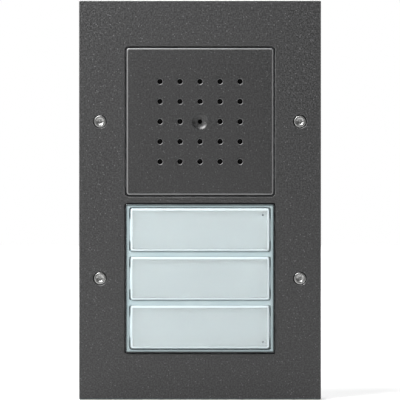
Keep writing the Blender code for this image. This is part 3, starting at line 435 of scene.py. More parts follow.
def add_node(made, kind, inputs=None, **settings):
    """A node of this kind. An input is a number, a colour or another node's output."""
    node = made.node_tree.nodes.new(kind)
    for name, value in settings.items():
        setattr(node, name, value)
    for socket, value in (inputs or {}).items():
        if isinstance(value, bpy.types.NodeSocket):
            made.node_tree.links.new(value, node.inputs[socket])
        else:
            node.inputs[socket].default_value = value
    return node


def link(made, output, socket):
    """Lead an output to a socket of the material's shader."""
    shader = made.node_tree.nodes["Principled BSDF"]
    made.node_tree.links.new(output, shader.inputs[socket])


def spot_on(made, stretch=(1, 1, 1)):
    """Where a point is on the panel, stretched."""
    where = add_node(made, "ShaderNodeTexCoord").outputs["Object"]
    if stretch == (1, 1, 1):
        return where
    inputs = {"Vector": where, "Scale": stretch}
    return add_node(made, "ShaderNodeMapping", inputs).outputs["Vector"]


def split(made):
    """Where a point is on the panel, as X, Y and Z."""
    return add_node(made, "ShaderNodeSeparateXYZ", {"Vector": spot_on(made)}).outputs


def attribute(made, name):
    """The piece's own attribute of this name."""
    return add_node(made, "ShaderNodeAttribute", attribute_name=name).outputs["Fac"]


def noise(made, where, size, detail=2.0, roughness=0.5):
    """Cloudy noise whose patches are about this size."""
    inputs = {"Vector": where, "Scale": 1 / size, "Detail": detail, "Roughness": roughness}
    return add_node(made, "ShaderNodeTexNoise", inputs).outputs["Fac"]


def cells(made, where, size, output="Distance"):
    """Scattered cells of about this size."""
    inputs = {"Vector": where, "Scale": 1 / size}
    return add_node(made, "ShaderNodeTexVoronoi", inputs).outputs[output]


def shades(made, amount, *stops):
    """A colour for each amount. A stop is a place and a colour."""
    node = add_node(made, "ShaderNodeValToRGB", {"Fac": amount})
    ramp = node.color_ramp
    while len(ramp.elements) < len(stops):
        ramp.elements.new(0.5)
    for element, (at, tone) in zip(ramp.elements, stops):
        element.position = at
        element.color = (*tone, 1)
    return node.outputs["Color"]


def levels(made, amount, low, high, start=0.0, end=1.0):
    """The amount from start to end, spread from low to high."""
    inputs = {"Value": amount, "From Min": start, "From Max": end, "To Min": low, "To Max": high}
    return add_node(made, "ShaderNodeMapRange", inputs, clamp=True).outputs["Result"]


def mixed(made, share, first, second, blend="MIX"):
    """Two colours, mixed by share."""
    node = add_node(made, "ShaderNodeMix", data_type="RGBA", blend_type=blend)
    colour_sockets = [s for s in node.inputs if s.type == "RGBA"]
    factor = next(s for s in node.inputs if s.type == "VALUE" and s.enabled)
    for socket, value in zip((factor, *colour_sockets), (share, first, second)):
        if isinstance(value, bpy.types.NodeSocket):
            made.node_tree.links.new(value, socket)
        else:
            socket.default_value = value
    return next(s for s in node.outputs if s.type == "RGBA")


def combined(made, operation, first, second=0.0):
    """A sum, product, smallest or the like of two numbers."""
    node = add_node(made, "ShaderNodeMath", {0: first, 1: second}, operation=operation)
    return node.outputs["Value"]


def relief(made, height, depth, strength=1.0):
    """Raise and lower the surface by up to this depth."""
    inputs = {"Height": height, "Distance": depth, "Strength": strength}
    link(made, add_node(made, "ShaderNodeBump", inputs).outputs["Normal"], "Normal")


def tinted(tone, factor):
    """The tone, lighter or darker."""
    return tuple(min(1.0, channel * factor) for channel in tone)


# ---------------------------------------------------------------- finishes


def anthracite_lacquer(name, tone, colours):
    """Fine textured powder coat with small light flakes, and a painted highlight on the faces
    marked as edge.
    """
    made = new_finish(name, Specular_IOR_Level=0.7)
    where = spot_on(made)
    cloud = noise(made, where, 0.0016, detail=2)
    grain = noise(made, where, 0.0007, detail=2, roughness=0.6)
    coat = shades(made, grain, (0.38, tinted(tone, 0.3)), (0.5, tone), (0.62, tinted(tone, 1.9)))
    drift = shades(made, cloud, (0.35, (0.86,) * 3), (0.65, (1,) * 3))
    body = mixed(made, 1.0, coat, drift, "MULTIPLY")
    flakes = levels(made, cells(made, where, 0.0012), 1, 0, 0.12, 0.24)
    few = levels(made, noise(made, where, 0.0021, detail=1), 0, 1, 0.48, 0.58)
    share = combined(made, "MULTIPLY", flakes, few)
    body = mixed(made, share, body, (*tinted(tone, 5.5), 1))
    # Painted highlight: faces marked as edge are lightened towards the edge colour and made partly
    # metallic.
    paler_as_painted_highlight = attribute(made, "edge")
    link(made, mixed(made, paler_as_painted_highlight, body, (*colours.edge, 1)), "Base Color")
    link(made, levels(made, paler_as_painted_highlight, 0, 0.4), "Metallic")
    link(made, levels(made, grain, 0.38, 0.50, 0.35, 0.65), "Roughness")
    relief(made, grain, 0.00003, 0.6)
    return made


def stainless_steel(colours):
    """Turned stainless steel."""
    made = new_finish("stainless_steel", Metallic=1.0)
    where = spot_on(made)
    tone = tuple(colours.steel)
    scratches = noise(made, spot_on(made, stretch=(1, 1, 6)), 0.0004, detail=4)
    bright = shades(made, scratches, (0.3, tinted(tone, 0.8)), (0.7, tinted(tone, 1.15)))
    link(made, bright, "Base Color")
    link(made, levels(made, noise(made, where, 0.0003), 0.30, 0.42), "Roughness")
    relief(made, scratches, 0.000006, 0.5)
    return made


def galvanised_steel(colours):
    """Zinc-coated sheet with a faint spangle."""
    made = new_finish("galvanised_steel", Metallic=1.0)
    where = spot_on(made)
    tone = tuple(colours.zinc)
    spangle = cells(made, where, 0.005, output="Color")
    grey = add_node(made, "ShaderNodeSeparateColor", {"Color": spangle}).outputs["Red"]
    coat = shades(made, grey, (0.0, tinted(tone, 0.82)), (1.0, tinted(tone, 1.12)))
    link(made, coat, "Base Color")
    link(made, levels(made, grey, 0.40, 0.46), "Roughness")
    relief(made, noise(made, where, 0.002, detail=3), 0.00002, 0.4)
    return made


def moulded_plastic(name, tone, roughness=0.5):
    """Moulded plastic with a fine spark-eroded texture."""
    made = new_finish(name)
    where = spot_on(made)
    cloud = noise(made, where, 0.012, detail=3)
    colour = shades(made, cloud, (0.3, tinted(tone, 0.9)), (0.7, tinted(tone, 1.1)))
    link(made, colour, "Base Color")
    texture = noise(made, where, 0.0004, detail=2)
    link(made, levels(made, texture, roughness - 0.08, roughness + 0.08), "Roughness")
    relief(made, texture, 0.00001, 0.7)
    return made


def soft_rubber(name, tone):
    """Dull rubber with a bloom."""
    made = new_finish(name, Roughness=0.8, Specular_IOR_Level=0.3)
    where = spot_on(made)
    bloom = noise(made, where, 0.004, detail=4)
    link(made, shades(made, bloom, (0.35, tone), (0.75, tinted(tone, 1.8))), "Base Color")
    relief(made, noise(made, where, 0.0006), 0.00002, 0.5)
    return made


def cap_plastic(colours):
    """Clear acrylic, frosted where a cap's attribute says that its rim is."""
    made = new_finish("clear_plastic", IOR=1.49)
    where = spot_on(made)
    rim = levels(made, attribute(made, "rim"), 0, 1, 0.15, 0.5)
    flow = noise(made, spot_on(made, stretch=(0.5, 1, 1.5)), 0.014, detail=2)
    clear = shades(made, flow, (0.3, tinted(colours.clear, 0.97)), (0.7, tuple(colours.clear)))
    tone = mixed(made, rim, clear, (*colours.rim, 1))
    # Painted shade: the faces of the lifting holes are dark and opaque.
    pip = attribute(made, "pip")
    link(made, mixed(made, pip, tone, (*colours.pip, 1)), "Base Color")
    solid = combined(made, "MAXIMUM", rim, pip)
    link(made, levels(made, solid, 0.80, 0.20), "Transmission Weight")
    satin = levels(made, noise(made, where, 0.003), 0.12, 0.18)
    link(made, combined(made, "ADD", satin, levels(made, rim, 0, 0.15)), "Roughness")
    relief(made, flow, 0.00002, 0.3)
    return made


def frame_plastic(colours):
    """Clear plastic with painted shade: dark along its outer border, where the shadowed joint
    would show through it, and darker along its top.
    """
    made = new_finish("frame_plastic", IOR=1.49, Transmission_Weight=0.2)
    low, high = box("button_frame")
    spot = split(made)
    margins = []
    # The painted shade is wider along the right and bottom sides, away from the light, than along
    # the left and top.
    for axis, start, end in (("X", 0.00038, 0.00048), ("Z", 0.00048, 0.00008)):
        first = getattr(low, axis.lower()) + start
        last = getattr(high, axis.lower()) - end
        off = combined(made, "SUBTRACT", spot[axis], (first + last) / 2)
        off = combined(made, "ABSOLUTE", off)
        margins.append(combined(made, "SUBTRACT", (last - first) / 2, off))
    inside = combined(made, "MINIMUM", *margins)
    tone = tuple(colours.frame)
    # Painted shade: darkest at the outer border, growing lighter inward over two millimetres.
    body = shades(
        made,
        levels(made, inside, 0, 1, 0, 0.002),
        (0.0, tinted(tone, 0.06)),
        (0.08, tinted(tone, 0.6)),
        (0.35, tinted(tone, 0.95)),
        (0.6, tinted(tone, 1.1)),
        (0.9, tinted(tone, 1.3)),
    )
    # Painted shade: the top strip is darker, where the plate's upper edge shades the frame.
    below_top = combined(made, "SUBTRACT", high.z, spot["Z"])
    shaded = levels(made, below_top, 0.38, 1, 0.0007, 0.0013)
    shade_tone = shades(made, shaded, (0.0, (0, 0, 0)), (1.0, (1, 1, 1)))
    body = mixed(made, 1.0, body, shade_tone, "MULTIPLY")
    flow = noise(made, spot_on(made, stretch=(0.3, 1, 0.3)), 0.004, detail=3)
    streaks = shades(made, flow, (0.3, (0.86, 0.9, 0.92)), (0.7, (1, 1, 1)))
    link(made, mixed(made, 1.0, body, streaks, "MULTIPLY"), "Base Color")
    link(made, levels(made, flow, 0.18, 0.30), "Roughness")
    relief(made, flow, 0.00002, 0.3)
    return made


def paper_card(colours):
    """White card under the caps."""
    made = new_finish("white_card", Roughness=0.85)
    where = spot_on(made)
    tone = tuple(colours.card)
    fibres = noise(made, spot_on(made, stretch=(0.3, 1, 1)), 0.0006, detail=4)
    cloud = noise(made, where, 0.02, detail=2)
    base = shades(made, cloud, (0.3, tinted(tone, 0.97)), (0.7, tinted(tone, 1.02)))
    threads = shades(made, fibres, (0.3, (0.96, 0.96, 0.96)), (0.7, (1, 1, 1)))
    link(made, mixed(made, 1.0, base, threads, "MULTIPLY"), "Base Color")
    relief(made, fibres, 0.00001, 0.4)
    return made


def bare_metal(name, tone):
    """Plain metal with fine scratches."""
    made = new_finish(name, Metallic=1.0)
    where = spot_on(made)
    marks = noise(made, where, 0.0008, detail=5)
    link(made, shades(made, marks, (0.3, tinted(tone, 0.8)), (0.7, tone)), "Base Color")
    link(made, levels(made, marks, 0.25, 0.45), "Roughness")
    relief(made, marks, 0.000008, 0.4)
    return made


def felted_aluminium(name, tone, centre):
    """Drawn aluminium, with black felt over the front of the microphone."""
    made = bare_metal(name, tone)
    shader = made.node_tree.nodes["Principled BSDF"]
    metal = shader.inputs["Base Color"].links[0].from_socket
    ahead = levels(made, split(made)["Y"], 1, 0, centre.y - 0.0002, centre.y + 0.0002)
    fibres = noise(made, spot_on(made), 0.0003)
    felt = shades(made, fibres, (0.3, (0.004,) * 3), (0.7, (0.012,) * 3))
    link(made, mixed(made, ahead, metal, felt), "Base Color")
    link(made, levels(made, ahead, 1, 0), "Metallic")
    link(made, levels(made, ahead, 0.5, 0.05), "Specular IOR Level")
    return made


def woven_mesh(name, tone):
    """Fine woven cloth behind the sound holes."""
    made = new_finish(name, Roughness=0.9)
    where = spot_on(made)
    threads = []
    for axis in "XZ":
        inputs = {"Vector": where, "Scale": 320}
        wave = add_node(made, "ShaderNodeTexWave", inputs, bands_direction=axis)
        threads.append(wave.outputs["Fac"])
    weave = combined(made, "MULTIPLY", *threads)
    link(made, shades(made, weave, (0.1, tinted(tone, 0.4)), (0.8, tone)), "Base Color")
    relief(made, weave, 0.00005, 0.8)
    return made


# ---------------------------------------------------------------- operators: the front


def finish_of(name):
    """A finish that has been mixed."""
    made = bpy.data.materials.get(f"{name}_finish")
    if made is None:
        raise RuntimeError(f"the finish {name} isn't mixed yet")
    return made


class PANEL_OT_finishes(bpy.types.Operator):
    """Mix the finishes, and give each node of the frame its own"""

    bl_idname = "panel.finishes"
    bl_label = "Finishes"

    def execute(self, context):
        colours = context.scene.panel_colours
        anthracite_lacquer("anthracite_lacquer", tuple(colours.lacquer), colours)
        anthracite_lacquer("cover_lacquer", tuple(colours.cover), colours)
        stainless_steel(colours)
        galvanised_steel(colours)
        bare_metal("brass", (0.78, 0.57, 0.25))
        felted_aluminium("capsule_aluminium", (0.75, 0.76, 0.77), middle("microphone_capsule"))
        soft_rubber("seal_rubber", tuple(colours.rubber))
        moulded_plastic("black_plastic", tuple(colours.black))
        moulded_plastic("grey_plastic", tuple(colours.grey))
        moulded_plastic("white_plastic", (0.78, 0.80, 0.80), roughness=0.4)
        moulded_plastic("terminal_plastic", (0.42, 0.47, 0.44), roughness=0.45)
        moulded_plastic("lead_sheath", (0.12, 0.12, 0.125), roughness=0.55)
        moulded_plastic("board_laminate", (0.03, 0.12, 0.055), roughness=0.35)
        moulded_plastic("chip_epoxy", (0.015, 0.015, 0.017), roughness=0.6)
        moulded_plastic("cone_paper", (0.03, 0.03, 0.03), roughness=0.9)
        moulded_plastic("magnet_ferrite", (0.05, 0.05, 0.055), roughness=0.5)
        moulded_plastic("lamp_resin", (0.85, 0.83, 0.55), roughness=0.3)
        woven_mesh("mesh_fabric", (0.02, 0.02, 0.02))
        cap_plastic(colours)
        frame_plastic(colours)
        paper_card(colours)
        for name, node in frame["nodes"].items():
            finish = finish_of(SLOTS[name])
            node.data.materials.clear()
            node.data.materials.append(finish)
        return {"FINISHED"}


class PANEL_OT_plate(bpy.types.Operator):
    """Model the front plate with its two openings and four screw wells"""

    bl_idname = "panel.plate"
    bl_label = "Front plate"

    def execute(self, context):
        sizes = context.scene.panel_sizes
        low, high = box("front_plate")
        plate = add_block("plate_shell", low, high)
        hollow_from_back(plate, sizes.plate_wall, high.y - low.y - sizes.plate_wall)
        round_corners(plate, sizes.plate_corner, segments=4)
        round_edges(plate, at_level(low.y), sizes.plate_edge, 3)
        spots = [middle(f"cover_screw_{number}").xz for number in SCREWS]
        bore_floor = box("cover_screw_1")[0].y + sizes.head_depth + GAP
        boss_front = low.y + sizes.plate_wall / 2
        boss_back = box("spacer_sleeve_1")[0].y - GAP
        for spot in spots:
            join(plate, add_rod("boss", sizes.boss_radius, boss_front, boss_back, spot))
        openings = (
            ("voice_cover", sizes.cover_joint, sizes.cover_corner),
            ("button_frame", sizes.frame_joint, sizes.frame_corner),
        )
        for node, joint, corner in openings:
            inner_low, inner_high = box(node)
            margin = Vector((joint, 0, joint))
            opening = add_block(
                f"{node}_opening",
                Vector((inner_low.x, low.y - THROUGH, inner_low.z)) - margin,
                Vector((inner_high.x, low.y + sizes.plate_wall + THROUGH, inner_high.z)) + margin,
            )
            round_corners(opening, corner + joint)
            cut(plate, opening)
        bore = sizes.head_radius + sizes.screw_clearance
        for spot in spots:
            cut(plate, add_rod("counterbore", bore, low.y - THROUGH, bore_floor, spot))
            cut(plate, add_rod("shank_hole", sizes.shank_hole, low.y, boss_back + THROUGH, spot))
        clean(plate)

        def near_side(edge):
            at = centre_of(edge)
            return abs(at.x) > high.x - sizes.plate_wall or abs(at.z) > high.z - sizes.plate_wall

        def on_opening(edge):
            return at_level(low.y)(edge) and not near_side(edge)

        round_edges(plate, on_opening, sizes.opening_edge, 3)
        # Painted highlight: the plate's sloped faces are marked to take the lighter edge tone.
        mark(plate, "edge", slopes)
        place(plate, PANEL, "front_plate", finish_of("anthracite_lacquer"))
        return {"FINISHED"}


class PANEL_OT_voice_cover(bpy.types.Operator):
    """Model the voice cover with its sound holes and the dish around the microphone's hole"""

    bl_idname = "panel.voice_cover"
    bl_label = "Voice cover"

    def execute(self, context):
        sizes = context.scene.panel_sizes
        low, high = box("voice_cover")
        centre = (low + high) / 2
        cover = add_block("voice_grille", low + Vector((0, sizes.cover_drop, 0)), high)
        hollow_from_back(cover, sizes.cover_skirt, high.y - low.y - sizes.cover_front)
        round_corners(cover, sizes.cover_corner)

        def on_front(face):
            return face.normal.y < -0.9 and face.calc_center_median().y < centre.y

        select(cover, "FACE", on_front)
        step_in(sizes.cover_slope, -sizes.cover_drop)
        leave_edit()
        for line in (-2.5, -1.5, -0.5, 0.5, 1.5, 2.5):
            slice_at(cover, centre + Vector((line * sizes.hole_pitch, 0, 0)), (1, 0, 0))
            slice_at(cover, centre + Vector((0, 0, line * sizes.hole_pitch)), (0, 0, 1))
        ends = (low.y - THROUGH, low.y + sizes.cover_front + THROUGH)
        hole = add_rod("sound_hole", sizes.hole_radius, *ends, (centre.x, centre.z), sides=32)
        holes = []
        for column in range(-2, 3):
            for row in range(-2, 3):
                if row or column:
                    move = (column * sizes.hole_pitch, 0, row * sizes.hole_pitch)
                    holes.append(copy_moved(hole, f"sound_hole_{len(holes)}", move))
        make_active(hole)
        bpy.ops.object.delete()
        cut(cover, gathered("sound_holes", holes))
        cut(cover, microphone_dish(sizes, centre, low.y))
        merge_doubles(cover)
        rim = sizes.hole_radius + TOUCH
        dish = sizes.dish_radius + TOUCH

        def on_outline(edge):
            at = centre_of(edge) - centre
            far = max(abs(at.x), abs(at.z)) > high.x - centre.x - sizes.cover_corner
            return at_level(low.y + sizes.cover_drop)(edge) and far

        def on_hole(edge):
            at = centre_of(edge) - centre
            in_dish = math.hypot(at.x, at.z) < dish
            near = math.hypot(
                at.x - sizes.hole_pitch * round(at.x / sizes.hole_pitch),
                at.z - sizes.hole_pitch * round(at.z / sizes.hole_pitch),
            )
            return at_level(low.y)(edge) and near < rim and not in_dish

        round_edges(cover, on_outline, sizes.cover_edge, 2)
        round_edges(cover, on_hole, sizes.hole_rim, 3)
        clear_of_dish = sizes.dish_radius + sizes.hole_radius

        def painted_highlight_face(face):
            off = face.center - centre
            return slopes(face) and math.hypot(off.x, off.z) > clear_of_dish

        # Painted highlight: the cover's sloped faces outside the dish are marked to take the
        # lighter edge tone.
        mark(cover, "edge", painted_highlight_face)
        place(cover, PANEL, "voice_cover", finish_of("cover_lacquer"))
        return {"FINISHED"}


def microphone_dish(sizes, centre, front):
    """The cutter for the dish: a rod whose rear face steps inward to the microphone's hole."""
    dish = add_rod("dish", sizes.dish_radius, front - THROUGH, front, centre.xz, sides=64)
    select(dish, "FACE", lambda face: face.normal.y > 0.9)
    steps = 8
    radius, depth = sizes.dish_radius, 0.0
    for step in range(1, steps + 1):
        smaller = sizes.dish_radius + (sizes.microphone_hole - sizes.dish_radius) * step / steps
        deeper = sizes.dish_depth * (1 - (smaller / sizes.dish_radius) ** 4)
        step_in(radius - smaller, deeper - depth)
        radius, depth = smaller, deeper
    push(sizes.cover_front)
    leave_edit()
    return dish


class PANEL_OT_cover_screws(bpy.types.Operator):
    """Model one cover screw with its six-lobe recess and pin, and copy it to the other corners"""

    bl_idname = "panel.cover_screws"
    bl_label = "Cover screws"

    def execute(self, context):
        sizes = context.scene.panel_sizes
        low, high = box("cover_screw_1")
        spot = (low + high) / 2
        front = low.y
        head_back = front + sizes.head_depth
        ends = (front + sizes.head_crown, head_back)
        screw = add_rod("screw_1", sizes.head_radius, *ends, spot.xz)
        select(screw, "FACE", lambda face: face.normal.y < -0.9)
        rings = (  # how far in, and how far forward, each ring turned on the head goes
            (0.00004, 0.00010),
            (0.00008, 0.00008),
            (0.00014, 0.00004),
            (0.00032, 0.0),
            (0.00006, -0.00014),
            (0.00008, 0.0),
            (0.00006, 0.00014),
            (0.00010, 0.0),
        )
        for thickness, rise in rings:
            step_in(thickness, -rise)
        leave_edit()
        recess(screw, spot, front, sizes)
        select(screw, "FACE", lambda face: face.normal.y > 0.9)
        bpy.ops.mesh.inset(thickness=sizes.head_radius - sizes.shank_radius)
        push(high.y - head_back - sizes.shank_tip)
        step_in(sizes.shank_tip, sizes.shank_tip)
        leave_edit()
        steel = finish_of("stainless_steel")
        for number in SCREWS[1:]:
            move = middle(f"cover_screw_{number}") - spot
            other = copy_moved(screw, f"screw_{number}", move)
            place(other, PANEL, f"cover_screw_{number}", steel)
        place(screw, PANEL, "cover_screw_1", steel)
        return {"FINISHED"}


def recess(screw, spot, front, sizes):
    """Sink the middle of the head to a six-lobe socket with a cone-shaped floor and a pin."""
    shallow, deep = front + 0.0003, front + 0.0014
    pin_reach, lobes, waist = 0.0008, 6, 0.84

    def middle_of_head(face):
        flat = face.normal.y < -0.9 and len(face.verts) > 8
        return flat and face.calc_center_median().y < shallow

    select(screw, "FACE", middle_of_head)
    step_in(0.00065, 0.00042)  # funnel
    push(0.00085)  # socket
    step_in(0.00080, 0.00005)  # cone-shaped floor
    push(-0.00060)  # pin
    step_in(0.00008, -0.00006)  # chamfer of the pin
    leave_edit()

    def between_lobes(corner):
        at = corner.co - spot
        turn = math.cos(lobes * math.atan2(at.z, at.x))
        on_wall = pin_reach < math.hypot(at.x, at.z) < sizes.recess_radius
        return on_wall and turn < -0.3 and shallow < corner.co.y < deep

    select(screw, "VERT", between_lobes)
    bpy.ops.transform.resize(value=(waist, 1, waist), center_override=(spot.x, front, spot.z))
    leave_edit()


class PANEL_OT_button_frame(bpy.types.Operator):
    """Model the translucent frame around the three call buttons"""

    bl_idname = "panel.button_frame"
    bl_label = "Button frame"

    def execute(self, context):
        sizes = context.scene.panel_sizes
        low, high = box("button_frame")
        piece = add_block("clear_frame", low, high)
        round_corners(piece, sizes.frame_corner)
        round_edges(piece, at_level(low.y), sizes.frame_edge, 3)
        for number in BUTTONS:
            cap_low, cap_high = box(f"call_cap_{number}")
            flange = Vector((sizes.cap_end_lip, 0, sizes.cap_lip))
            gap = Vector((sizes.side_gap, 0, sizes.web_gap))
            window_low, window_high = cap_low + flange - gap, cap_high - flange + gap
            if number == BUTTONS[0]:
                window_high.z += sizes.end_gap - sizes.web_gap
            if number == BUTTONS[-1]:
                window_low.z -= sizes.end_gap - sizes.web_gap
            ledge = cap_high.y - sizes.cap_flange - GAP
            window = add_block(
                f"window_{number}",
                Vector((window_low.x, low.y - THROUGH, window_low.z)),
                Vector((window_high.x, high.y + THROUGH, window_high.z)),
            )
            round_corners(window, sizes.cap_corner + sizes.web_gap)
            step = add_block(
                f"step_{number}",
                Vector((window_low.x, ledge, window_low.z)) - flange,
                Vector((window_high.x, high.y + THROUGH, window_high.z)) + flange,
            )
            round_corners(step, sizes.cap_corner + sizes.web_gap)
            cut(piece, window, step)
        clean(piece)
        round_edges(piece, at_level(low.y), sizes.window_edge, 2)
        place(piece, PANEL, "button_frame", finish_of("frame_plastic"))
        return {"FINISHED"}


class PANEL_OT_call_caps(bpy.types.Operator):
    """Model one clear button cap, and copy it for the other buttons"""

    bl_idname = "panel.call_caps"
    bl_label = "Call button caps"

    def execute(self, context):
        sizes = context.scene.panel_sizes
        low, high = box("call_cap_1")
        lip = Vector((sizes.cap_end_lip, 0, sizes.cap_lip))
        body_low = low + lip
        body_high = high - lip
        in_flange = high.y - sizes.cap_flange / 2
        cap = add_block("clear_cap_1", body_low, Vector((body_high.x, in_flange, body_high.z)))
        round_corners(cap, sizes.cap_corner)
        round_edges(cap, at_level(low.y), sizes.cap_edge, 5)
        flange = add_block("flange", Vector((low.x, high.y - sizes.cap_flange, low.z)), high)
        round_corners(flange, sizes.cap_corner)
        join(cap, flange)
        wall = Vector((sizes.cap_side, 0, sizes.cap_side))
        hollow = add_block(
            "cap_hollow",
            Vector((body_low.x, low.y + sizes.cap_front, body_low.z)) + wall,
            Vector((body_high.x, high.y + THROUGH, body_high.z)) - wall,
        )
        round_corners(hollow, sizes.cap_hollow_corner, segments=4)
        cut(cap, hollow)
        centre = middle("call_cap_1")
        half = Vector((sizes.guide_height, 0, sizes.guide_length / 2))
        for end in (body_low.x, body_high.x):
            first = Vector((end, low.y + 2 * sizes.cap_edge, centre.z)) - half
            last = Vector((end, in_flange, centre.z)) + half
            join(cap, add_block("guide", first, last))
        clean(cap)
        frosted_rim(cap, sizes)
        for number in BUTTONS[1:]:
            move = middle(f"call_cap_{number}") - centre
            copy_moved(cap, f"clear_cap_{number}", move)
        caps = {number: bpy.data.objects[f"clear_cap_{number}"] for number in BUTTONS}
        for number, up in ((BUTTONS[0], 1), (BUTTONS[-1], -1)):
            at = middle(f"call_cap_{number}")
            reach = Vector((body_high.x - centre.x, 0, (body_high.z - centre.z) * up))
            pip = at + reach - Vector((sizes.pip_inset, 0, sizes.pip_inset * up))
            ends = (low.y - THROUGH, low.y + sizes.pip_radius)
            cut(caps[number], add_rod("pip", sizes.pip_radius, *ends, (pip.x, pip.z), sides=16))
            # Painted shade: mark the lifting holes' faces to take the dark tone.
            mark(caps[number], "pip", lambda face: inside_pip(face, pip, low.y, sizes.pip_radius))
        clear = finish_of("clear_plastic")
        for number, piece in caps.items():
            place(piece, f"button_{number}", f"call_cap_{number}", clear)
        return {"FINISHED"}


def frosted_rim(cap, sizes):
    """Slice the cap around its window, and mark every outer corner around the window as rim."""
    low, high = box("call_cap_1")
    centre = (low + high) / 2
    rim = sizes.cap_edge + sizes.rim_width
    window = (high - low) / 2 - Vector((sizes.cap_end_lip + rim, 0, sizes.cap_lip + rim))
    for side in (-1, 1):
        slice_at(cap, centre + Vector((side * window.x, 0, 0)), (1, 0, 0))
    slice_at(cap, centre - Vector((0, 0, window.z)), (0, 0, 1))
    # Painted highlight: the top line of the rim sits lower, so the rim is wider along the top.
    slice_at(cap, centre + Vector((0, 0, window.z - sizes.rim_top_highlight)), (0, 0, 1))
    reach = sizes.cap_end_lip + sizes.cap_side / 2
    wall = (high - low) / 2 - Vector((reach, 0, reach))
    bottom, top = -window.z - TOUCH, window.z - sizes.rim_top_highlight + TOUCH
    values = []
    for corner in cap.data.vertices:
        at = corner.co - centre
        on_front = corner.co.y < low.y + TOUCH
        in_window = abs(at.x) < window.x + TOUCH and bottom < at.z < top
        outer = abs(at.x) > wall.x or abs(at.z) > wall.z or on_front
        values.append(float(outer and not (on_front and in_window)))
    cap.data.attributes.new("rim", "FLOAT", "POINT").data.foreach_set("value", values)


def inside_pip(face, pip, front, radius):
    """True for the faces of a lifting hole."""
    off = face.center - pip
    behind_front = front + TOUCH < face.center.y < front + 2 * radius
    return behind_front and math.hypot(off.x, off.z) < radius + TOUCH


# ---------------------------------------------------------------- operators: cards and rear


def softened(node, name, body, width):
    """A copy of a node of the frame with its edges rounded, which stands for the node."""
    source = frame["nodes"][node]
    slot = SLOTS[node]
    piece = bpy.data.objects.new(name, source.data.copy())
    bpy.context.scene.collection.objects.link(piece)
    piece.matrix_world = source.matrix_world
    make_active(piece)
    bpy.ops.object.transform_apply(location=True, rotation=True, scale=True)
    clean(piece)
    modify(
        piece,
        "BEVEL",
        width=width,
        segments=2,
        limit_method="ANGLE",
        angle_limit=math.radians(40),
        face_strength_mode="FSTR_ALL",
    )
    place(piece, body, node, finish_of(slot))


class PANEL_OT_name_cards(bpy.types.Operator):
    """Lay a name card under each cap"""

    bl_idname = "panel.name_cards"
    bl_label = "Name cards"

    def execute(self, context):
        sizes = context.scene.panel_sizes
        for number in BUTTONS:
            body = f"button_{number}"
            softened(f"name_card_{number}", f"card_{number}", body, sizes.softening / 3)
        return {"FINISHED"}


class PANEL_OT_rear(bpy.types.Operator):
    """Soften the edges of the carrier plate, the two housings and what is on their backs"""

    bl_idname = "panel.rear"
    bl_label = "Carrier and housings"

    def execute(self, context):
        width = context.scene.panel_sizes.softening
        pieces = (
            ("rim_seal", "rim_gasket"),
            ("carrier_plate", "carrier"),
            ("voice_housing", "voice_pot"),
            ("call_housing", "call_pot"),
            ("voice_back", "voice_lid"),
            ("call_back", "call_lid"),
            ("terminal_block", "terminals"),
            ("terminal_screw_1", "clamp_screw_1"),
            ("terminal_screw_2", "clamp_screw_2"),
            ("voice_plug", "voice_connector"),
            ("call_plug", "call_connector"),
            ("link_lead", "lead"),
        )
        for node, name in pieces:
            softened(node, name, PANEL, width)
        softened("volume_dial", "volume_knob", "volume", width)
        return {"FINISHED"}


# ---------------------------------------------------------------- operator: the studio


FLOOR_RADIUS = 5
FLOOR_DROP = 0.0001  # the floor lies this far below the panel
ROOM_LIGHT = 0.12
CAMERA_DISTANCE = 1.5
SENSOR = 36  # millimetres
FIELD = 0.18085  # how much of the plane of the front the camera sees
LIGHTS = (  # name, place, what it faces, size and power
    ("key", (-0.27, -0.31, 0.50), (0, 0, 0), 0.34, 10.1),
    ("back", (-0.3, 1.5, 1.0), (0, 0.3, 0), 1.2, 22.0),
    ("overhead", (0.0, 4.3, 2.2), (0, 4.3, 0), 7.0, 600.0),
)


class PANEL_OT_studio(bpy.types.Operator):
    """Lay the floor and set up the lights and the camera"""

    bl_idname = "panel.studio"
    bl_label = "Studio"

    def execute(self, context):
        colours = context.scene.panel_colours
        low = CAD_BOX[0]
        bpy.ops.object.select_all(action="DESELECT")
        bpy.ops.mesh.primitive_circle_add(
            vertices=96, radius=FLOOR_RADIUS, fill_type="NGON", location=(0, 0, low.z - FLOOR_DROP)
        )
        floor = settle("studio_floor")
        tone = (*colours.backdrop, 1)
        backdrop = new_finish("backdrop", Base_Color=tone, Roughness=0.9, Specular_IOR_Level=0.2)
        floor.data.materials.append(backdrop)
        for light in LIGHTS:
            add_light(*light)
        light_the_room(context.scene)
        spot = (0, low.y - CAMERA_DISTANCE, 0)
        bpy.ops.object.camera_add(location=spot, rotation=(math.pi / 2, 0, 0))
        camera = context.object
        camera.name = "camera"
        camera.data.sensor_width = SENSOR
        camera.data.lens = SENSOR * CAMERA_DISTANCE / FIELD
        context.scene.camera = camera
        context.scene.view_settings.view_transform = "Standard"
        return {"FINISHED"}


def add_light(name, at, towards, size, power):
    """A square softbox that faces a spot."""
    bpy.ops.object.select_all(action="DESELECT")
    turn = (Vector(towards) - Vector(at)).to_track_quat("-Z", "Y").to_euler()
    bpy.ops.object.light_add(type="AREA", location=at, rotation=turn)
    light = bpy.context.object
    light.name = name
    light.data.shape = "SQUARE"
    light.data.size = size
    light.data.energy = power


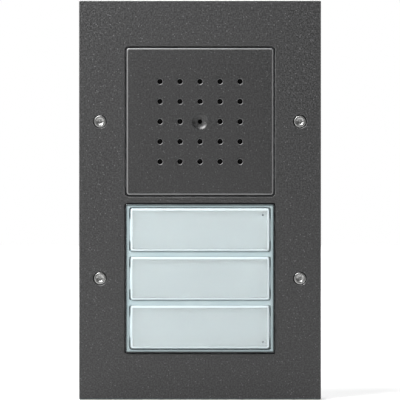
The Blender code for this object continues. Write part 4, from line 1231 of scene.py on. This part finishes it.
def light_the_room(scene):
    """Soft light from all around, and white where the camera sees past the floor."""
    world = bpy.data.worlds.new("room")
    scene.world = world
    world.use_nodes = True
    nodes, links = world.node_tree.nodes, world.node_tree.links
    seen = nodes["Background"]
    seen.inputs["Color"].default_value = (1, 1, 1, 1)
    seen.inputs["Strength"].default_value = 1.0
    room = nodes.new("ShaderNodeBackground")
    room.inputs["Color"].default_value = (1, 1, 1, 1)
    room.inputs["Strength"].default_value = ROOM_LIGHT
    path = nodes.new("ShaderNodeLightPath")
    either = nodes.new("ShaderNodeMixShader")
    links.new(path.outputs["Is Camera Ray"], either.inputs["Fac"])
    links.new(room.outputs["Background"], either.inputs[1])
    links.new(seen.outputs["Background"], either.inputs[2])
    links.new(either.outputs["Shader"], nodes["World Output"].inputs["Surface"])


# ---------------------------------------------------------------- add-on


class PANEL_PT_sidebar(bpy.types.Panel):
    """The panel's sizes, colours and steps"""

    bl_idname = "PANEL_PT_sidebar"
    bl_label = "Door intercom panel"
    bl_space_type = "VIEW_3D"
    bl_region_type = "UI"
    bl_category = "Intercom"

    def draw(self, context):
        layout = self.layout
        for group in (context.scene.panel_sizes, context.scene.panel_colours):
            column = layout.column(align=True)
            for name in group.__annotations__:
                column.prop(group, name)
        column = layout.column(align=True)
        for step in STEPS:
            column.operator(step.bl_idname)


STEPS = (
    PANEL_OT_finishes,
    PANEL_OT_plate,
    PANEL_OT_voice_cover,
    PANEL_OT_cover_screws,
    PANEL_OT_button_frame,
    PANEL_OT_call_caps,
    PANEL_OT_name_cards,
    PANEL_OT_rear,
    PANEL_OT_studio,
)
CLASSES = (PanelSizes, PanelColours, *STEPS, PANEL_PT_sidebar)


def register():
    """Register the classes and attach the sizes and colours to the scene."""
    for made in CLASSES:
        bpy.utils.register_class(made)
    bpy.types.Scene.panel_sizes = PointerProperty(type=PanelSizes)
    bpy.types.Scene.panel_colours = PointerProperty(type=PanelColours)


def unregister():
    """Undo register."""
    del bpy.types.Scene.panel_colours
    del bpy.types.Scene.panel_sizes
    for made in reversed(CLASSES):
        bpy.utils.unregister_class(made)


def main():
    """Run every step."""
    register()
    for step in STEPS:
        group, name = step.bl_idname.split(".")
        getattr(getattr(bpy.ops, group), name)()


if __name__ == "__main__":
    main()
